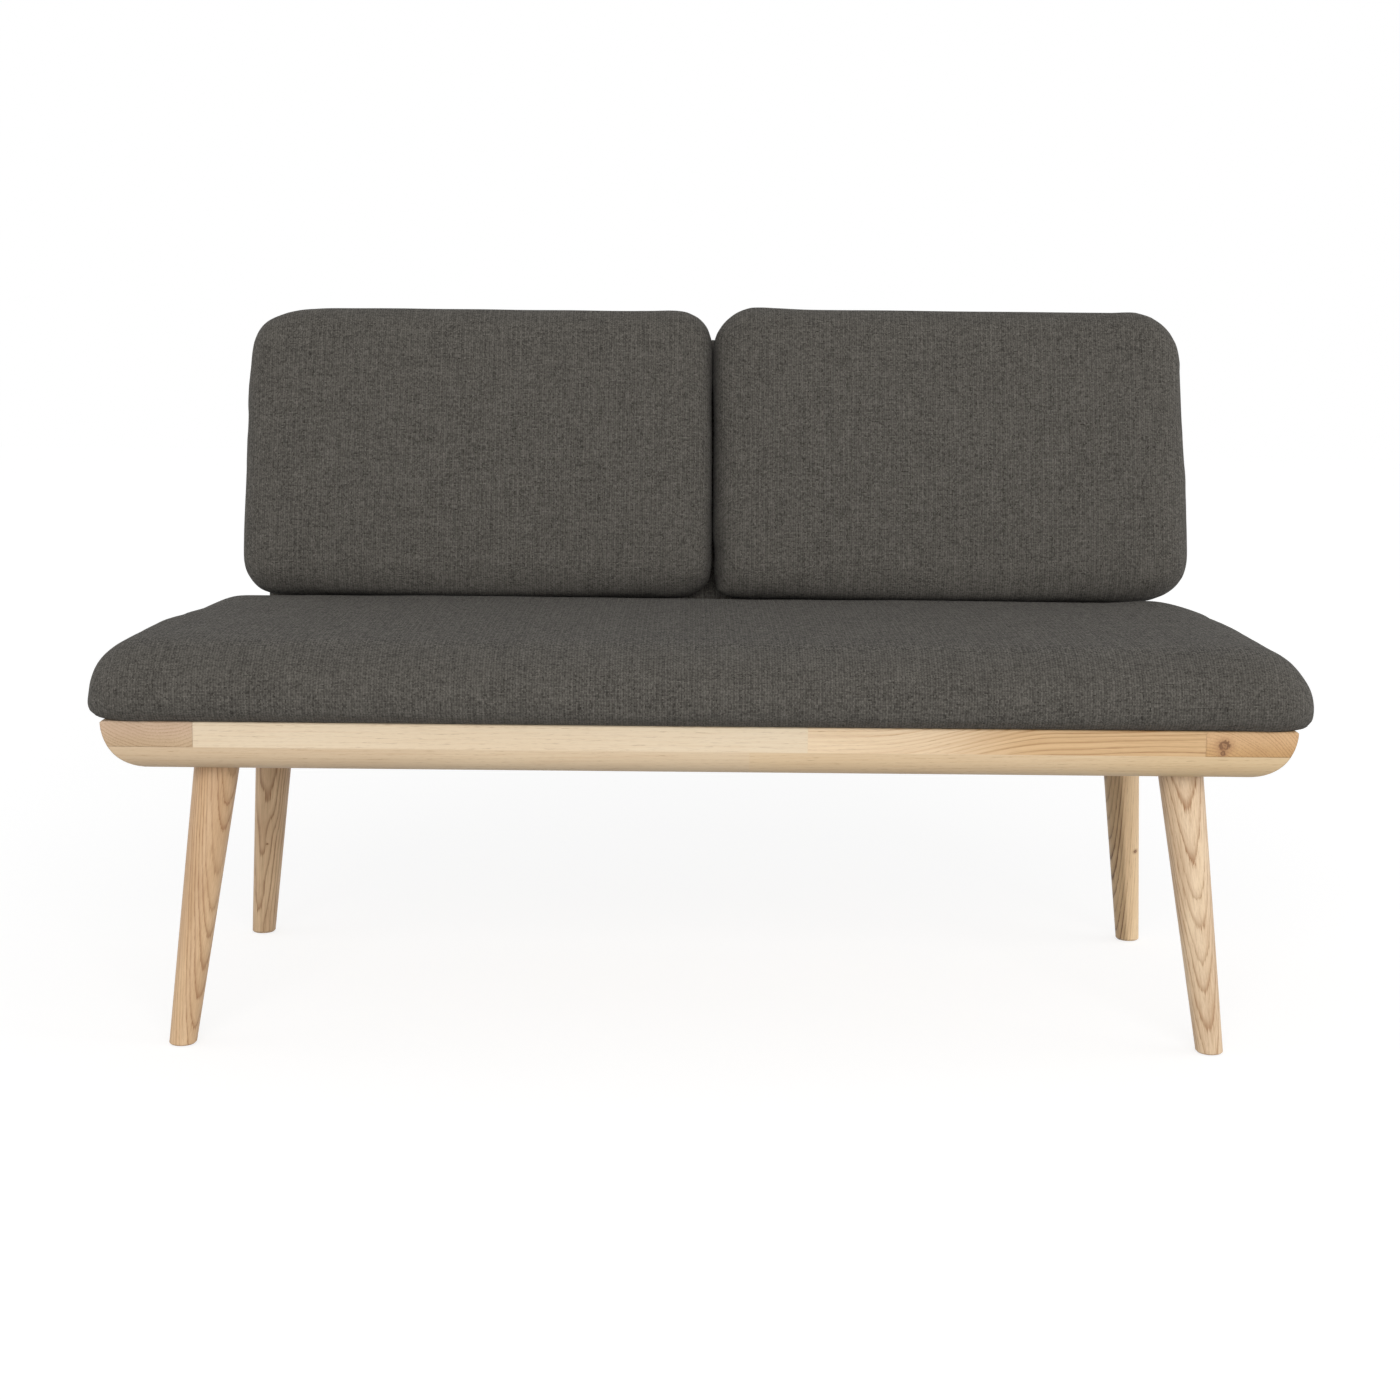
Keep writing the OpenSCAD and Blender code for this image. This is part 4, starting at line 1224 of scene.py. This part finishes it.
RIGHT_NUDGES = [
    ((0.026, 0.260, 0.868), (0.030, 0.10, 0.030), (0, 0, -0.002)),
    ((0.095, 0.270, 0.880), (0.034, 0.10, 0.030), (0, 0, 0.0018)),
    ((0.676, 0.220, 0.640), (0.060, 0.12, 0.070), (0.002, 0, 0)),
    ((0.030, 0.190, 0.680), (0.045, 0.06, 0.24), (0, 0.005, 0)),
    ((0.022, 0.175, 0.540), (0.022, 0.06, 0.025), (0.005, 0, 0)),
    ((0.030, 0.165, 0.488), (0.022, 0.06, 0.014), (-0.010, 0, -0.001)),
    ((0.640, 0.165, 0.490), (0.030, 0.06, 0.030), (0, 0, 0.004)),
    ((0.330, 0.165, 0.490), (0.26, 0.03, 0.016), (0, -0.006, -0.0015)),
    ((0.360, 0.175, 0.535), (0.34, 0.05, 0.030), (0, 0.003, 0)),
]


# Voxel of the even skin on the seat and the back cushions, and the seeds of their hollows
SEAT_VOXEL = 0.009
BACK_VOXEL = 0.007
SEAT_SEED = 11
LEFT_SEED = 23
RIGHT_SEED = 37
# Where the seams run: above the platform's top, and in front of the panel
SEAT_SEAM_Z = 0.0045
BACK_SEAM_Y = -0.0128


def build_soft():
    """Cushions and back panel in one cloth."""
    cloth = fabric("wool_weave", FABRIC_DARK, FABRIC_LIGHT)
    level = Matrix.Translation((0, MIDDLE_Y, TOP_Z))
    seat = cushion("seat_cushion", SEAT_VOXEL, SEAT_SEED, SEAT_NUDGES, cloth)
    add_seam(seat, "seat_cushion_seam", level, 2, SEAT_SEAM_Z, cloth)
    lay_cloth(seat, level)
    for node, seed, places in (("left_back_cushion", LEFT_SEED, LEFT_NUDGES),
                               ("right_back_cushion", RIGHT_SEED, RIGHT_NUDGES)):
        piece = cushion(node, BACK_VOXEL, seed, places, cloth)
        add_seam(piece, node + "_seam", SLOPE, 1, BACK_SEAM_Y, cloth)
        lay_cloth(piece, SLOPE)
    back_panel(cloth)


add_camera()
dress_frame()
build_soft()
light_scene()
add_floor()
scene.view_settings.view_transform = "Standard"
